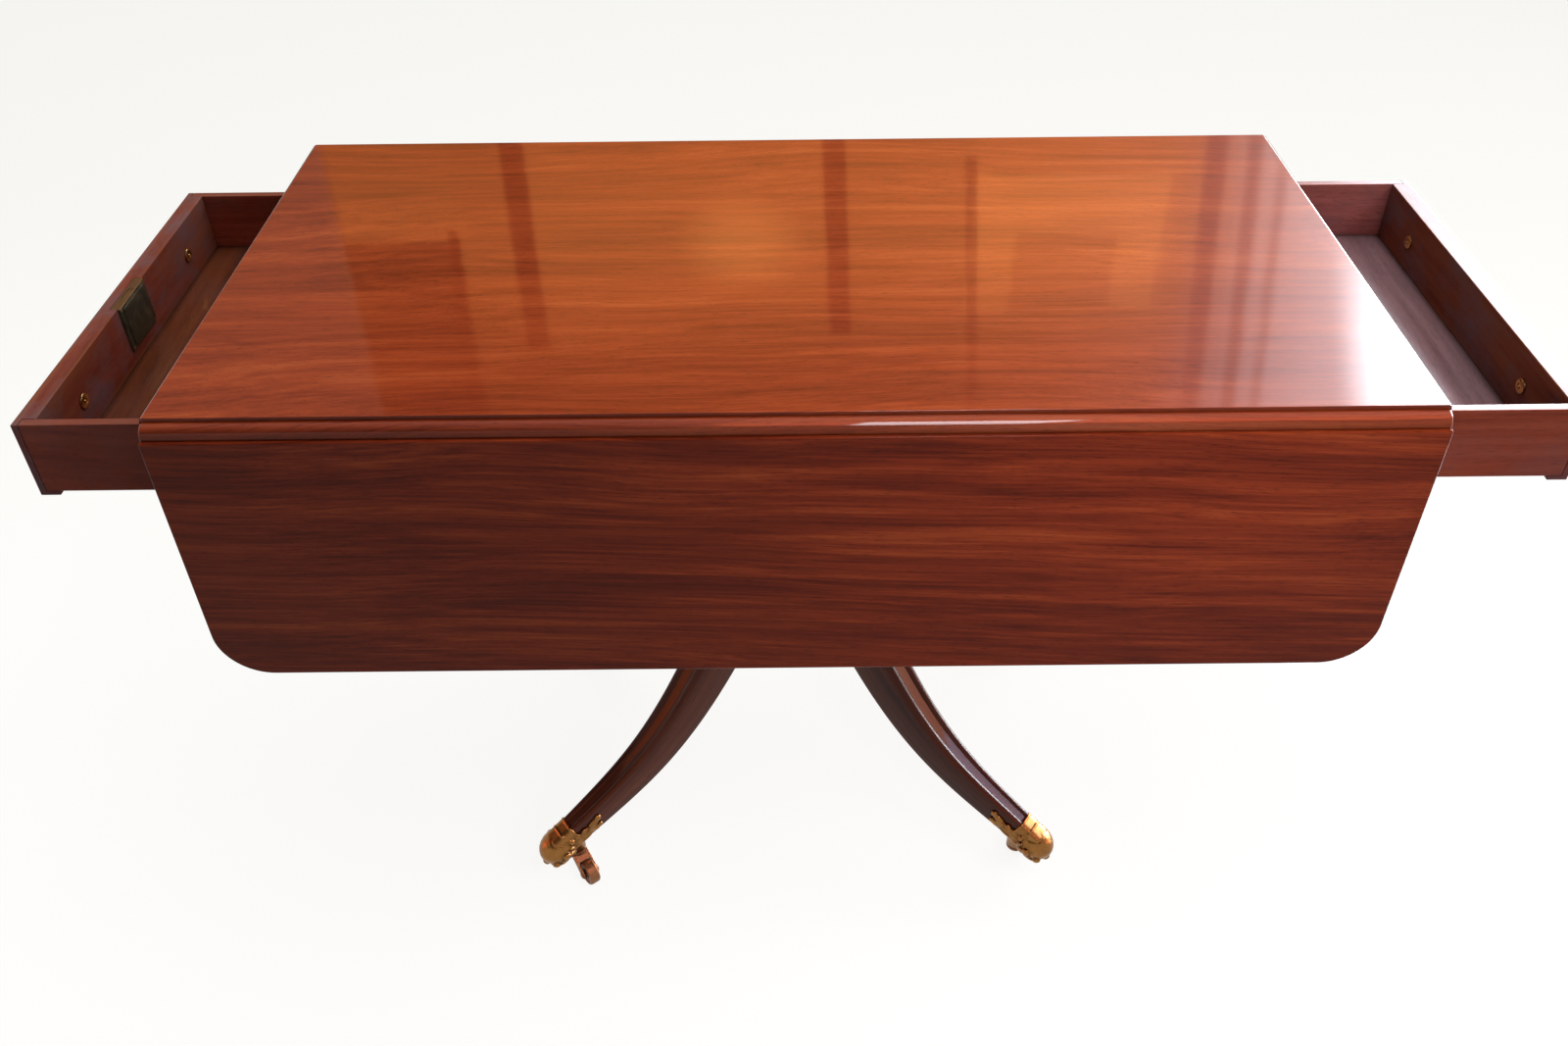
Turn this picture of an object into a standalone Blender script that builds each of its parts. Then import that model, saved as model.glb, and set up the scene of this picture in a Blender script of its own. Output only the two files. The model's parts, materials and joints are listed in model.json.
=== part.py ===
"""Pembroke table: a fixed top with two drop leaves on rule joints, a frieze with a drawer at each end,
swinging flies under the leaves, and a turned pillar on four sabre legs with brass castors.
Metres, +Z up. The floor is z = 0 and the table's centre is x = y = 0. The hinge lines run along X.
The leaves hang and both drawers stand part open."""

import math

import bmesh
import bpy
from mathutils import Matrix, Vector
from mathutils.geometry import interpolate_bezier

# Fixed top
HEIGHT = 0.720
TOP_LENGTH = 1.070
TOP_WIDTH = 0.540  # between the fillets of the two rule joints
TOP_THICK = 0.018
TOP_END_ROUND = 0.0025

# Rule joint and drop leaves
JOINT_FILLET = 0.004
JOINT_RADIUS = 0.011
JOINT_CLEARANCE = 0.0006
LEAF_WIDTH = 0.265  # from the hinge line to the free edge
LEAF_CORNER = 0.048
LEAF_EDGE_ROUND = 0.0015

# Hinges under the rule joints
HINGE_INSET = 0.175  # from the end of the top to the middle of a hinge
HINGE_WIDTH = 0.050
HINGE_PLATE = 0.002
HINGE_TOP_REACH = 0.040
HINGE_LEAF_REACH = 0.048
HINGE_BARREL_RADIUS = 0.0042
HINGE_PIN_RADIUS = 0.0017
HINGE_MIDDLE_BARREL = 0.020
HINGE_BARREL_SLOT = 0.0008

# Fits
SEAT_GAP = 0.0003  # between pieces that are glued, screwed or rest on each other
RUN_GAP = 0.0003  # between a pin and its hole
SIDE_GAP = 0.0004  # beside a barrel, knuckle or wheel

# Frieze
END_OVERHANG = 0.027
RAIL_THICK = 0.015
END_RAIL_WIDTH = 0.024
END_TOP_RAIL = 0.016
END_BOTTOM_RAIL = 0.020
RUNNER_WIDTH = 0.020
RUNNER_THICK = 0.018

# Flies that hold the raised leaves up
FLY_THICK = 0.014
FLY_DEPTH = 0.085
FLY_LENGTH = 0.200
FLY_PIVOT = 0.105  # from the middle of the table
FLY_LEAF_GAP = 0.0109  # between a folded fly and the hanging leaf
FLY_PIN_RADIUS = 0.0025
FLY_END_CLEARANCE = 0.004
FLY_TIP_CURVE = 0.045
KNUCKLES = 5

# Drawers
DRAWER_LENGTH = 0.400
DRAWER_SIDE_HEIGHT = 0.0715
DRAWER_FRONT_THICK = 0.018
DRAWER_FRONT_LIP = 0.0045  # of the front, below the sides
DRAWER_LAP = 0.006  # of the front, over the ends of the sides
DRAWER_SIDE_THICK = 0.0095
DRAWER_BACK_THICK = 0.009
DRAWER_BACK_DROP = 0.004
DRAWER_BOTTOM_THICK = 0.0065
DRAWER_BOTTOM_RISE = 0.003
DRAWER_GROOVE = 0.0045
DRAWER_SIDE_PLAY = 0.0008
DRAWER_TOP_PLAY = 0.0017
DRAWER_FOOT_PLAY = 0.0015
LEFT_DRAWER_OPEN = 0.1645
RIGHT_DRAWER_OPEN = 0.1795

# Drawer knobs with their shanks and nuts
KNOB_SPACING = 0.282
KNOB_DROP = 0.032  # below the top edge of the drawer
KNOB_RADIUS = 0.012
KNOB_REACH = 0.022
KNOB_DOME = 0.0075  # from the widest part out to the end
KNOB_UNDERCUT = 0.0042  # from the widest part back to the shoulder
KNOB_SHOULDER_RADIUS = 0.0096
KNOB_NECK_RADIUS = 0.005
KNOB_NECK_HEIGHT = 0.0055
ROSE_RADIUS = 0.009
ROSE_THICK = 0.0025
ROSE_CHAMFER = 0.0010
SHANK_RADIUS = 0.0025
NUT_RADIUS = 0.007
NUT_THICK = 0.003
NUT_CHAMFER = 0.0014

# Lock of the left drawer
LOCK_WIDTH = 0.062
LOCK_HEIGHT = 0.048
LOCK_THICK = 0.0105
LOCK_RECESS = 0.007
BOLT_WIDTH = 0.018
BOLT_THICK = 0.005
BOLT_LENGTH = 0.024
BOLT_TRAVEL = 0.008
ESCUTCHEON_RADIUS = 0.008
ESCUTCHEON_THICK = 0.0025
KEYHOLE_WIDTH = 0.004
KEYHOLE_HEIGHT = 0.010
KEYHOLE_DROP = 0.026

# Pillar and the bearer it carries
BEARER_LENGTH = 0.300
BEARER_THICK = 0.022
PILLAR_TENON_RADIUS = 0.018
PILLAR_CAP_RADIUS = 0.056
PILLAR_HOLLOW_RADIUS = 0.042
PILLAR_THROAT_RADIUS = 0.034
PILLAR_NECK_RADIUS = 0.031
PILLAR_VASE_RADIUS = 0.043
PILLAR_VASE_BELLY = 0.35  # the widest level's share of the vase's height
PILLAR_WAIST_RADIUS = 0.0385
PILLAR_DRUM_RADIUS = 0.045
PILLAR_DRUM_MARGIN = 0.012
PILLAR_DROP = 0.030
PILLAR_DROP_RADIUS = 0.036
PILLAR_RING = 0.006

# Sabre legs, each in the upright plane that runs out from the pillar
LEG_ANGLE = math.radians(34.5)  # from the length of the table
LEG_ROOT_HEIGHT = 0.362
LEG_ROOT_SLOPE = math.radians(62.0)
LEG_TOE_REACH = 0.329
LEG_TOE_HEIGHT = 0.063
LEG_TOE_SLOPE = math.radians(28.0)
LEG_ROOT_HANDLE = 0.260
LEG_TOE_HANDLE = 0.125
LEG_WIDTH = 0.044
LEG_DEPTH = 0.059
LEG_TAPER = 0.52
LEG_REED = 0.0055
LEG_REED_SWEEP = 150.0  # degrees of the reed's round that stand clear
LEG_STATIONS = 12
TENON_WIDTH = 0.012
TENON_LENGTH = 0.016
TENON_BELOW = 0.012
TENON_ABOVE = 0.048

# Toe caps and castors
CAP_WALL = 0.0025
CAP_COLLAR = 0.016
CAP_BULB_AHEAD = 0.012
CAP_BULB_DROP = 0.001
CAP_BULB_LENGTH = 0.025
CAP_BULB_SIDE = 0.022
CAP_BULB_HEIGHT = 0.021
CAP_TONGUE = 0.032
CAP_TONGUE_HEIGHT = 0.016
CASTOR_SETBACK = 0.013  # of the swivel, behind the toe
CASTOR_TRAIL = 0.025
HORN_RADIUS = 0.0105
HORN_THICK = 0.0042
HORN_ARM = 0.003
HORN_EYE_RADIUS = 0.005
STEM_RADIUS = 0.003
STEM_LENGTH = 0.013
WHEEL_RADIUS = 0.015
WHEEL_WIDTH = 0.013
WHEEL_CROWN = 0.0015
AXLE_RADIUS = 0.0025
AXLE_HEAD_RADIUS = 0.004
AXLE_HEAD = 0.0012
AXLE_HEAD_CHAMFER = 0.0008
CASTOR_HEADINGS = {
    "front_left": math.radians(-53.0),
    "front_right": math.radians(60.0),
    "back_left": math.radians(150.0),
    "back_right": math.radians(20.0),
}

# Smoothness of round work
ARC_STEPS = 7
REED_STEPS = 5
RING_STEPS = 3
DOME_STEPS = 4
SWELL_STEPS = 5
EDGE_STEPS = 3
ROUND_SIDES = 16
TURNED_STEPS = 24
RING_SWEEP = 60.0  # degrees of a turned ring above and below its middle
SMOOTH_ANGLE = math.radians(35.0)
WELD = 0.00001

ROWS = {"front": -1, "back": 1}
ENDS = {"left": -1, "right": 1}

# Places worked out from the sizes above
HALF_LENGTH = TOP_LENGTH / 2
HALF_WIDTH = TOP_WIDTH / 2
TOP_UNDER = HEIGHT - TOP_THICK
AXIS_Z = HEIGHT - JOINT_FILLET - JOINT_RADIUS
AXIS_RISE = AXIS_Z - TOP_UNDER
COVE_RADIUS = JOINT_RADIUS + JOINT_CLEARANCE
LEAF_INNER = HALF_WIDTH - AXIS_RISE
HINGE_X = HALF_LENGTH - HINGE_INSET
HINGE_LEAD = HINGE_BARREL_RADIUS + HINGE_BARREL_SLOT + SIDE_GAP

FLY_OUTER = LEAF_INNER - FLY_LEAF_GAP
FLY_INNER = FLY_OUTER - FLY_THICK
FLY_MIDDLE = (FLY_OUTER + FLY_INNER) / 2
RAIL_OUTER = FLY_INNER - SEAT_GAP
RAIL_INNER = RAIL_OUTER - RAIL_THICK
RAIL_END = HALF_LENGTH - END_OVERHANG
RAIL_TOP = TOP_UNDER - SEAT_GAP
KNUCKLE_RADIUS = FLY_THICK / 2 - SIDE_GAP
KNUCKLE_LEAD = FLY_THICK / 2 + SIDE_GAP

DRAWER_HALF = RAIL_INNER - DRAWER_SIDE_PLAY
DRAWER_TOP = RAIL_TOP - END_TOP_RAIL - DRAWER_TOP_PLAY
DRAWER_SIDE_FOOT = DRAWER_TOP - DRAWER_SIDE_HEIGHT
DRAWER_FRONT_FOOT = DRAWER_SIDE_FOOT - DRAWER_FRONT_LIP
DRAWER_FLOOR = DRAWER_SIDE_FOOT + DRAWER_BOTTOM_RISE
DRAWER_OPEN = {"left": LEFT_DRAWER_OPEN, "right": RIGHT_DRAWER_OPEN}
KNOB_Z = DRAWER_TOP - KNOB_DROP

RUNNER_TOP = DRAWER_SIDE_FOOT - SEAT_GAP
END_FOOT_TOP = DRAWER_FRONT_FOOT - DRAWER_FOOT_PLAY
RAIL_FOOT = END_FOOT_TOP - END_BOTTOM_RAIL
BEARER_TOP = RAIL_FOOT - SEAT_GAP
BEARER_FOOT = BEARER_TOP - BEARER_THICK

LEG_FACE_RISE = LEG_DEPTH / 2 / math.cos(LEG_ROOT_SLOPE)
DRUM_TOP = LEG_ROOT_HEIGHT + LEG_FACE_RISE + PILLAR_DRUM_MARGIN
DRUM_FOOT = LEG_ROOT_HEIGHT - LEG_FACE_RISE - PILLAR_DRUM_MARGIN
SWIVEL_REACH = LEG_TOE_REACH - CASTOR_SETBACK
AXLE_Z = WHEEL_RADIUS
ARM_INNER = WHEEL_WIDTH / 2 + SIDE_GAP
ARM_OUTER = ARM_INNER + HORN_ARM
TOE_UNDERSIDE = LEG_DEPTH * LEG_TAPER / 2 / math.cos(LEG_TOE_SLOPE)
SWIVEL_RISE = CASTOR_SETBACK * math.tan(LEG_TOE_SLOPE) - TOE_UNDERSIDE
BOSS_FOOT = LEG_TOE_HEIGHT + SWIVEL_RISE - CAP_WALL - STEM_LENGTH
HORN_TOP = BOSS_FOOT - SEAT_GAP
HORN_FOOT = HORN_TOP - HORN_THICK

# A section drawn as (y, z) and drawn out along X, and an outline drawn as (x, z) and drawn out along Y
ALONG_X = Matrix(((0, 0, 1, 0), (1, 0, 0, 0), (0, 1, 0, 0), (0, 0, 0, 1)))
ALONG_Y = Matrix(((1, 0, 0, 0), (0, 0, -1, 0), (0, 1, 0, 0), (0, 0, 0, 1)))


def clear_scene():
    for old in list(bpy.data.objects):
        bpy.data.objects.remove(old, do_unlink=True)


def new_collection(name):
    collection = bpy.data.collections.new(name)
    bpy.context.scene.collection.children.link(collection)
    return collection


def material(name, colour, roughness, metallic=0.0):
    made = bpy.data.materials.new(name)
    made.use_nodes = True
    shader = made.node_tree.nodes["Principled BSDF"]
    shader.inputs["Base Color"].default_value = (*colour, 1.0)
    shader.inputs["Roughness"].default_value = roughness
    shader.inputs["Metallic"].default_value = metallic
    made.diffuse_color = (*colour, 1.0)
    return made


clear_scene()
PARTS = new_collection("pembroke_table")
CUTTERS = new_collection("cutters")
POLISHED = material("polished_mahogany", (0.30, 0.075, 0.025), 0.15)
LEG_WOOD = material("dark_mahogany", (0.14, 0.032, 0.014), 0.25)
LINING = material("drawer_lining", (0.15, 0.045, 0.024), 0.50)
CARCASS = material("carcass_wood", (0.38, 0.22, 0.11), 0.60)
BRASS = material("gilt_brass", (0.62, 0.40, 0.15), 0.30, 1.0)
IRON = material("blackened_iron", (0.06, 0.058, 0.05), 0.50, 1.0)


def mesh_from(bm, name):
    """A mesh of the closed body, with its faces pointing out."""
    bmesh.ops.recalc_face_normals(bm, faces=bm.faces)
    if bm.calc_volume(signed=True) < 0:
        bmesh.ops.reverse_faces(bm, faces=bm.faces)
    mesh = bpy.data.meshes.new(name)
    bm.to_mesh(mesh)
    bm.free()
    return mesh


def box(x, y, z, edge_round=0.0):
    """A box from three pairs of limits, in any order, with its edges rounded if asked."""
    limits = [sorted(pair) for pair in (x, y, z)]
    size = [high - low for low, high in limits]
    middle = [(high + low) / 2 for low, high in limits]
    bm = bmesh.new()
    bmesh.ops.create_cube(bm, size=1.0)
    bmesh.ops.scale(bm, vec=size, verts=bm.verts)
    bmesh.ops.translate(bm, vec=middle, verts=bm.verts)
    if edge_round:
        bmesh.ops.bevel(bm, geom=list(bm.edges), offset=edge_round, segments=1, affect="EDGES")
    return mesh_from(bm, "box")


def rod(start, end, radius, sides=ROUND_SIDES):
    """A round bar between two points."""
    start, end = Vector(start), Vector(end)
    along = end - start
    bm = bmesh.new()
    bmesh.ops.create_cone(
        bm, cap_ends=True, segments=sides, radius1=radius, radius2=radius, depth=along.length
    )
    turn = Vector((0, 0, 1)).rotation_difference(along).to_matrix().to_4x4()
    bm.transform(Matrix.Translation((start + end) / 2) @ turn)
    return mesh_from(bm, "rod")


def mesh_of_curve(curve, matrix):
    """The evaluated mesh of a curve, with its caps welded, moved by the matrix."""
    holder = bpy.data.objects.new("outline", curve)
    CUTTERS.objects.link(holder)
    bpy.context.view_layer.update()
    made = bpy.data.meshes.new_from_object(holder.evaluated_get(bpy.context.evaluated_depsgraph_get()))
    bpy.data.objects.remove(holder, do_unlink=True)
    bm = bmesh.new()
    bm.from_mesh(made)
    bmesh.ops.remove_doubles(bm, verts=bm.verts, dist=WELD)
    bm.transform(matrix)
    return mesh_from(bm, "outline")


def flat_curve(points, name):
    """A closed flat outline through the points."""
    curve = bpy.data.curves.new(name, "CURVE")
    curve.dimensions = "2D"
    curve.fill_mode = "BOTH"
    spline = curve.splines.new("POLY")
    spline.points.add(len(points) - 1)
    for point, (x, y) in zip(spline.points, points):
        point.co = (x, y, 0.0, 1.0)
    spline.use_cyclic_u = True
    return curve


def plate(points, low, high, matrix):
    """A flat outline drawn out from low to high along the outline's own third axis."""
    curve = flat_curve(points, "plate")
    curve.extrude = (high - low) / 2
    return mesh_of_curve(curve, matrix @ Matrix.Translation((0, 0, (low + high) / 2)))


def quarter(steps):
    """Angles from 0 to 90 degrees, with both ends, in radians."""
    return [math.pi / 2 * i / steps for i in range(steps + 1)]


def arc(centre, radius, start, end, steps=ARC_STEPS):
    """Points on an arc, with both ends, for angles in degrees."""
    angles = [math.radians(start + (end - start) * i / steps) for i in range(steps + 1)]
    return [(centre[0] + radius * math.cos(a), centre[1] + radius * math.sin(a)) for a in angles]


def add_part(name, mesh, finish, origin=(0.0, 0.0, 0.0), smooth=False):
    """A part whose mesh is given in the table's frame, with its origin moved to its joint or seat."""
    mesh.name = name
    mesh.transform(Matrix.Translation(-Vector(origin)))
    mesh.materials.append(finish)
    if smooth:
        mesh.shade_smooth()
        mesh.set_sharp_from_angle(angle=SMOOTH_ANGLE)
    part = bpy.data.objects.new(name, mesh)
    part.location = origin
    PARTS.objects.link(part)
    return part


def add_turned(name, profile, finish, matrix, steps=TURNED_STEPS):
    """A turned part. The profile is (radius, height) pairs from the top to the bottom."""
    mesh = bpy.data.meshes.new(name)
    points = [(radius, 0.0, height) for radius, height in profile]
    mesh.from_pydata(points, [(i, i + 1) for i in range(len(points) - 1)], [])
    mesh.materials.append(finish)
    part = bpy.data.objects.new(name, mesh)
    part.matrix_world = matrix
    PARTS.objects.link(part)
    screw = part.modifiers.new("turned", "SCREW")
    screw.steps = steps
    screw.render_steps = steps
    screw.use_merge_vertices = True
    screw.merge_threshold = WELD
    screw.use_smooth_shade = True
    return part


def helper(mesh, name):
    """A hidden body that a part is cut by or joined to."""
    body = bpy.data.objects.new(name, mesh)
    body.hide_render = True
    body.display_type = "WIRE"
    CUTTERS.objects.link(body)
    return body


def combine(part, mesh, operation, solver="EXACT"):
    body = helper(mesh, f"{part.name}_{operation.lower()}_{len(part.modifiers)}")
    step = part.modifiers.new(body.name, "BOOLEAN")
    step.operation = operation
    step.solver = solver
    step.object = body
    return body


def cut(part, mesh):
    return combine(part, mesh, "DIFFERENCE")


def join(part, mesh):
    return combine(part, mesh, "UNION")


def table_top():
    foot = math.degrees(math.asin(AXIS_RISE / JOINT_RADIUS))
    edge = arc((HALF_WIDTH, AXIS_Z), JOINT_RADIUS, 90, -foot)
    half = [(HALF_WIDTH, HEIGHT), *edge]
    section = half + [(-y, z) for y, z in reversed(half)]
    mesh = plate(section, -HALF_LENGTH, HALF_LENGTH, ALONG_X)
    bm = bmesh.new()
    bm.from_mesh(mesh)
    corners = {
        v for v in bm.verts if abs(abs(v.co.x) - HALF_LENGTH) < SEAT_GAP and abs(v.co.z - HEIGHT) < SEAT_GAP
    }
    ends = [e for e in bm.edges if corners.issuperset(e.verts)]
    bmesh.ops.bevel(bm, geom=ends, offset=TOP_END_ROUND, segments=EDGE_STEPS, profile=0.5, affect="EDGES")
    top = add_part("table_top", mesh_from(bm, "top"), POLISHED)
    reach = HALF_WIDTH - HINGE_TOP_REACH - SEAT_GAP
    slot = HINGE_BARREL_RADIUS + HINGE_BARREL_SLOT
    for row in ROWS.values():
        for end in ENDS.values():
            x = end * HINGE_X
            wide = HINGE_WIDTH / 2 + SIDE_GAP
            across = (x - wide, x + wide)
            outside = row * (HALF_WIDTH + JOINT_RADIUS + JOINT_FILLET)
            under = TOP_UNDER - TOP_THICK
            cut(top, box(across, (row * reach, outside), (under, TOP_UNDER + HINGE_PLATE + SEAT_GAP)))
            axis = row * HALF_WIDTH
            trough = arc((axis, AXIS_Z), slot, 0, 180) + [(axis - slot, under), (axis + slot, under)]
            cut(top, plate(trough, x - wide - SIDE_GAP, x + wide + SIDE_GAP, ALONG_X))


def leaf_section(row):
    """The hanging leaf's section as (y, z), from the ledge beside the ovolo round to the cove."""
    outer = JOINT_FILLET + JOINT_RADIUS
    foot = math.degrees(math.asin(AXIS_RISE / COVE_RADIUS))
    tip = math.degrees(math.asin(SIDE_GAP / COVE_RADIUS))
    lowest = LEAF_WIDTH - LEAF_EDGE_ROUND
    shape = [(outer, -SIDE_GAP), (outer, -lowest)]
    shape += [(outer - LEAF_EDGE_ROUND, -LEAF_WIDTH), (LEAF_EDGE_ROUND - AXIS_RISE, -LEAF_WIDTH)]
    shape += [(-AXIS_RISE, -lowest)]
    shape += arc((0, 0), COVE_RADIUS, -90 - foot, -tip)
    return [(row * (HALF_WIDTH + u), AXIS_Z + w) for u, w in shape]


def leaf_outline():
    """The leaf's face as (x, z): square at the hinge line, with round lower corners."""
    above = AXIS_Z + LEAF_CORNER
    in_x = HALF_LENGTH - LEAF_CORNER
    in_z = AXIS_Z - LEAF_WIDTH + LEAF_CORNER
    corner = [(HALF_LENGTH, above), *arc((in_x, in_z), LEAF_CORNER, 0, -90)]
    return corner + [(-x, z) for x, z in reversed(corner)]


def leaves():
    for name, row in ROWS.items():
        mesh = plate(leaf_section(row), -HALF_LENGTH, HALF_LENGTH, ALONG_X)
        leaf = add_part(f"leaf_{name}", mesh, POLISHED, (0, row * HALF_WIDTH, AXIS_Z))
        combine(leaf, plate(leaf_outline(), -TOP_WIDTH, TOP_WIDTH, ALONG_Y), "INTERSECT")
        for end in ENDS.values():
            wide = HINGE_WIDTH / 2 + SIDE_GAP
            across = (end * HINGE_X - wide, end * HINGE_X + wide)
            inside = row * (LEAF_INNER - TOP_THICK)
            floor = row * (LEAF_INNER + HINGE_PLATE + SEAT_GAP)
            cut(leaf, box(across, (inside, floor), (AXIS_Z, AXIS_Z - HINGE_LEAF_REACH - SEAT_GAP)))


def hinges():
    middle = HINGE_MIDDLE_BARREL / 2
    wide = HINGE_WIDTH / 2
    for row_name, row in ROWS.items():
        for end_name, end in ENDS.items():
            where = f"{row_name}_{end_name}"
            x = end * HINGE_X
            axis = (x, row * HALF_WIDTH, AXIS_Z)
            lead = row * (HALF_WIDTH - HINGE_LEAD)
            top_face = (TOP_UNDER, TOP_UNDER + HINGE_PLATE)
            reach = row * (HALF_WIDTH - HINGE_TOP_REACH)
            flap = add_part(
                f"hinge_top_flap_{where}", box((x - wide, x + wide), (reach, lead), top_face), BRASS, axis
            )
            for side in (-1, 1):
                near, far = x + side * (middle + SIDE_GAP), x + side * wide
                join(flap, box((near, far), (lead - row * HINGE_PLATE, axis[1]), top_face))
                join(flap, rod((near, *axis[1:]), (far, *axis[1:]), HINGE_BARREL_RADIUS))
            hole = HINGE_PIN_RADIUS + RUN_GAP
            cut(flap, rod((x - HINGE_WIDTH, *axis[1:]), (x + HINGE_WIDTH, *axis[1:]), hole))

            face = (row * LEAF_INNER, row * (LEAF_INNER + HINGE_PLATE))
            down = (AXIS_Z - HINGE_LEAD, AXIS_Z - HINGE_LEAF_REACH)
            leaf_flap = add_part(
                f"hinge_leaf_flap_{where}", box((x - wide, x + wide), face, down), BRASS, axis
            )
            join(leaf_flap, box((x - middle, x + middle), face, (AXIS_Z, down[0] - HINGE_PLATE)))
            join(leaf_flap, rod((x - middle, *axis[1:]), (x + middle, *axis[1:]), HINGE_BARREL_RADIUS))
            join(leaf_flap, rod((x - wide, *axis[1:]), (x + wide, *axis[1:]), HINGE_PIN_RADIUS))


def side_rails():
    """Each side rail is cut back behind its flies, and full thickness from the flies to the ends."""
    pad = FLY_PIVOT + FLY_LENGTH + FLY_END_CLEARANCE
    for name, row in ROWS.items():
        rail = add_part(
            f"side_rail_{name}",
            box((-RAIL_END, RAIL_END), (row * RAIL_INNER, row * RAIL_OUTER), (RAIL_FOOT, RAIL_TOP)),
            CARCASS,
        )
        inside = row * (RAIL_INNER + RAIL_OUTER) / 2
        for end in ENDS.values():
            join(rail, box((end * pad, end * RAIL_END), (inside, row * FLY_OUTER), (RAIL_FOOT, RAIL_TOP)))


def knuckle_levels(first):
    """The (top, bottom) of every second knuckle of a fly joint, counted down from the given one."""
    step = FLY_DEPTH / KNUCKLES
    return [
        (RAIL_TOP - i * step - SIDE_GAP / 2, RAIL_TOP - (i + 1) * step + SIDE_GAP / 2)
        for i in range(first, KNUCKLES, 2)
    ]


def knuckle(x, y, reach, level):
    """One finger of a fly joint: round about the pin, straight from there as far as reach."""
    turn = 90 if reach > x else -90
    round_end = arc((x, y), KNUCKLE_RADIUS, turn, turn + 180)
    outline = [*round_end, (reach, round_end[-1][1]), (reach, round_end[0][1])]
    return plate(outline, *sorted(level), Matrix.Identity(4))


def fly_blocks():
    body = FLY_PIVOT - KNUCKLE_LEAD
    for name, row in ROWS.items():
        across = (row * FLY_INNER, row * FLY_OUTER)
        block = add_part(
            f"fly_block_{name}", box((-body, body), across, (RAIL_TOP, RAIL_TOP - FLY_DEPTH)), CARCASS
        )
        for end in ENDS.values():
            x = end * FLY_PIVOT
            for level in knuckle_levels(0):
                join(block, knuckle(x, row * FLY_MIDDLE, end * (body - FLY_THICK), level))
            above, below = RAIL_TOP + FLY_THICK, RAIL_TOP - FLY_DEPTH - FLY_THICK
            hole = FLY_PIN_RADIUS + RUN_GAP
            cut(block, rod((x, row * FLY_MIDDLE, above), (x, row * FLY_MIDDLE, below), hole))


def fly_outline(end):
    """A fly's face as (x, z), cut away in a hollow curve under its free end."""
    foot = RAIL_TOP - FLY_DEPTH
    tip = FLY_PIVOT + FLY_LENGTH
    near = FLY_PIVOT + KNUCKLE_LEAD
    hollow = arc((tip, foot), FLY_TIP_CURVE, 90, 180)
    shape = [(near, RAIL_TOP), (tip, RAIL_TOP), *hollow, (near, foot)]
    return [(end * x, z) for x, z in shape]


def flies():
    for row_name, row in ROWS.items():
        for end_name, end in ENDS.items():
            x, y = end * FLY_PIVOT, row * FLY_MIDDLE
            across = sorted((-row * FLY_INNER, -row * FLY_OUTER))
            mesh = plate(fly_outline(end), *across, ALONG_Y)
            fly = add_part(f"fly_{row_name}_{end_name}", mesh, CARCASS, (x, y, RAIL_TOP))
            for level in knuckle_levels(1):
                join(fly, knuckle(x, y, x + end * (KNUCKLE_LEAD + FLY_THICK), level))
            join(fly, rod((x, y, RAIL_TOP), (x, y, RAIL_TOP - FLY_DEPTH), FLY_PIN_RADIUS))


def end_rails():
    half = RAIL_INNER - SEAT_GAP
    for name, end in ENDS.items():
        along = (end * RAIL_END, end * (RAIL_END - END_RAIL_WIDTH))
        foot = RAIL_TOP - END_TOP_RAIL
        upper = add_part(f"end_top_rail_{name}", box(along, (-half, half), (RAIL_TOP, foot)), POLISHED)
        add_part(f"end_bottom_rail_{name}", box(along, (-half, half), (END_FOOT_TOP, RAIL_FOOT)), POLISHED)
        if name == "left":
            depth = foot + BOLT_TRAVEL + RUN_GAP
            bolt = end * RAIL_END - bolt_from_front(end)
            cut(upper, bolt_space(bolt, (foot - END_TOP_RAIL, depth), SIDE_GAP))


def runners():
    half = RAIL_END - END_RAIL_WIDTH - SEAT_GAP
    outer = RAIL_INNER - SEAT_GAP
    for name, row in ROWS.items():
        across = (row * outer, row * (outer - RUNNER_WIDTH))
        levels = (RUNNER_TOP, RUNNER_TOP - RUNNER_THICK)
        add_part(f"drawer_runner_{name}", box((-half, half), across, levels), CARCASS)


def bolt_from_front(end):
    """From the middle of the lock bolt out to the drawer front's outer face."""
    return end * (DRAWER_FRONT_THICK - LOCK_RECESS + LOCK_THICK / 2)


def bolt_space(x, level, gap):
    """The bolt's section, widened by the gap, between two levels."""
    thick, wide = BOLT_THICK / 2 + gap, BOLT_WIDTH / 2 + gap
    return box((x - thick, x + thick), (-wide, wide), level)


def drawer_front(name, end, face):
    inner = face - end * DRAWER_FRONT_THICK
    half = DRAWER_HALF
    front = add_part(
        f"drawer_front_{name}",
        box((face, inner), (-half, half), (DRAWER_FRONT_FOOT, DRAWER_TOP)),
        POLISHED,
        (face, 0, DRAWER_TOP),
    )
    past = inner - end * DRAWER_FRONT_THICK
    rebate = face - end * DRAWER_LAP
    above = DRAWER_TOP + DRAWER_SIDE_HEIGHT
    for row in ROWS.values():
        edge = row * (half - DRAWER_SIDE_THICK - SEAT_GAP)
        beyond = row * (half + DRAWER_SIDE_THICK)
        cut(front, box((rebate, past), (edge, beyond), (DRAWER_SIDE_FOOT - SEAT_GAP, above)))
        y = row * KNOB_SPACING / 2
        cut(front, rod((face + end * KNOB_REACH, y, KNOB_Z), (past, y, KNOB_Z), SHANK_RADIUS + RUN_GAP))
    groove = inner + end * DRAWER_GROOVE
    cut(front, box((groove, past), (-half - SEAT_GAP, half + SEAT_GAP), drawer_bottom_levels(SEAT_GAP)))
    return front


def drawer_bottom_levels(gap):
    return (DRAWER_FLOOR - gap, DRAWER_FLOOR + DRAWER_BOTTOM_THICK + gap)


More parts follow.
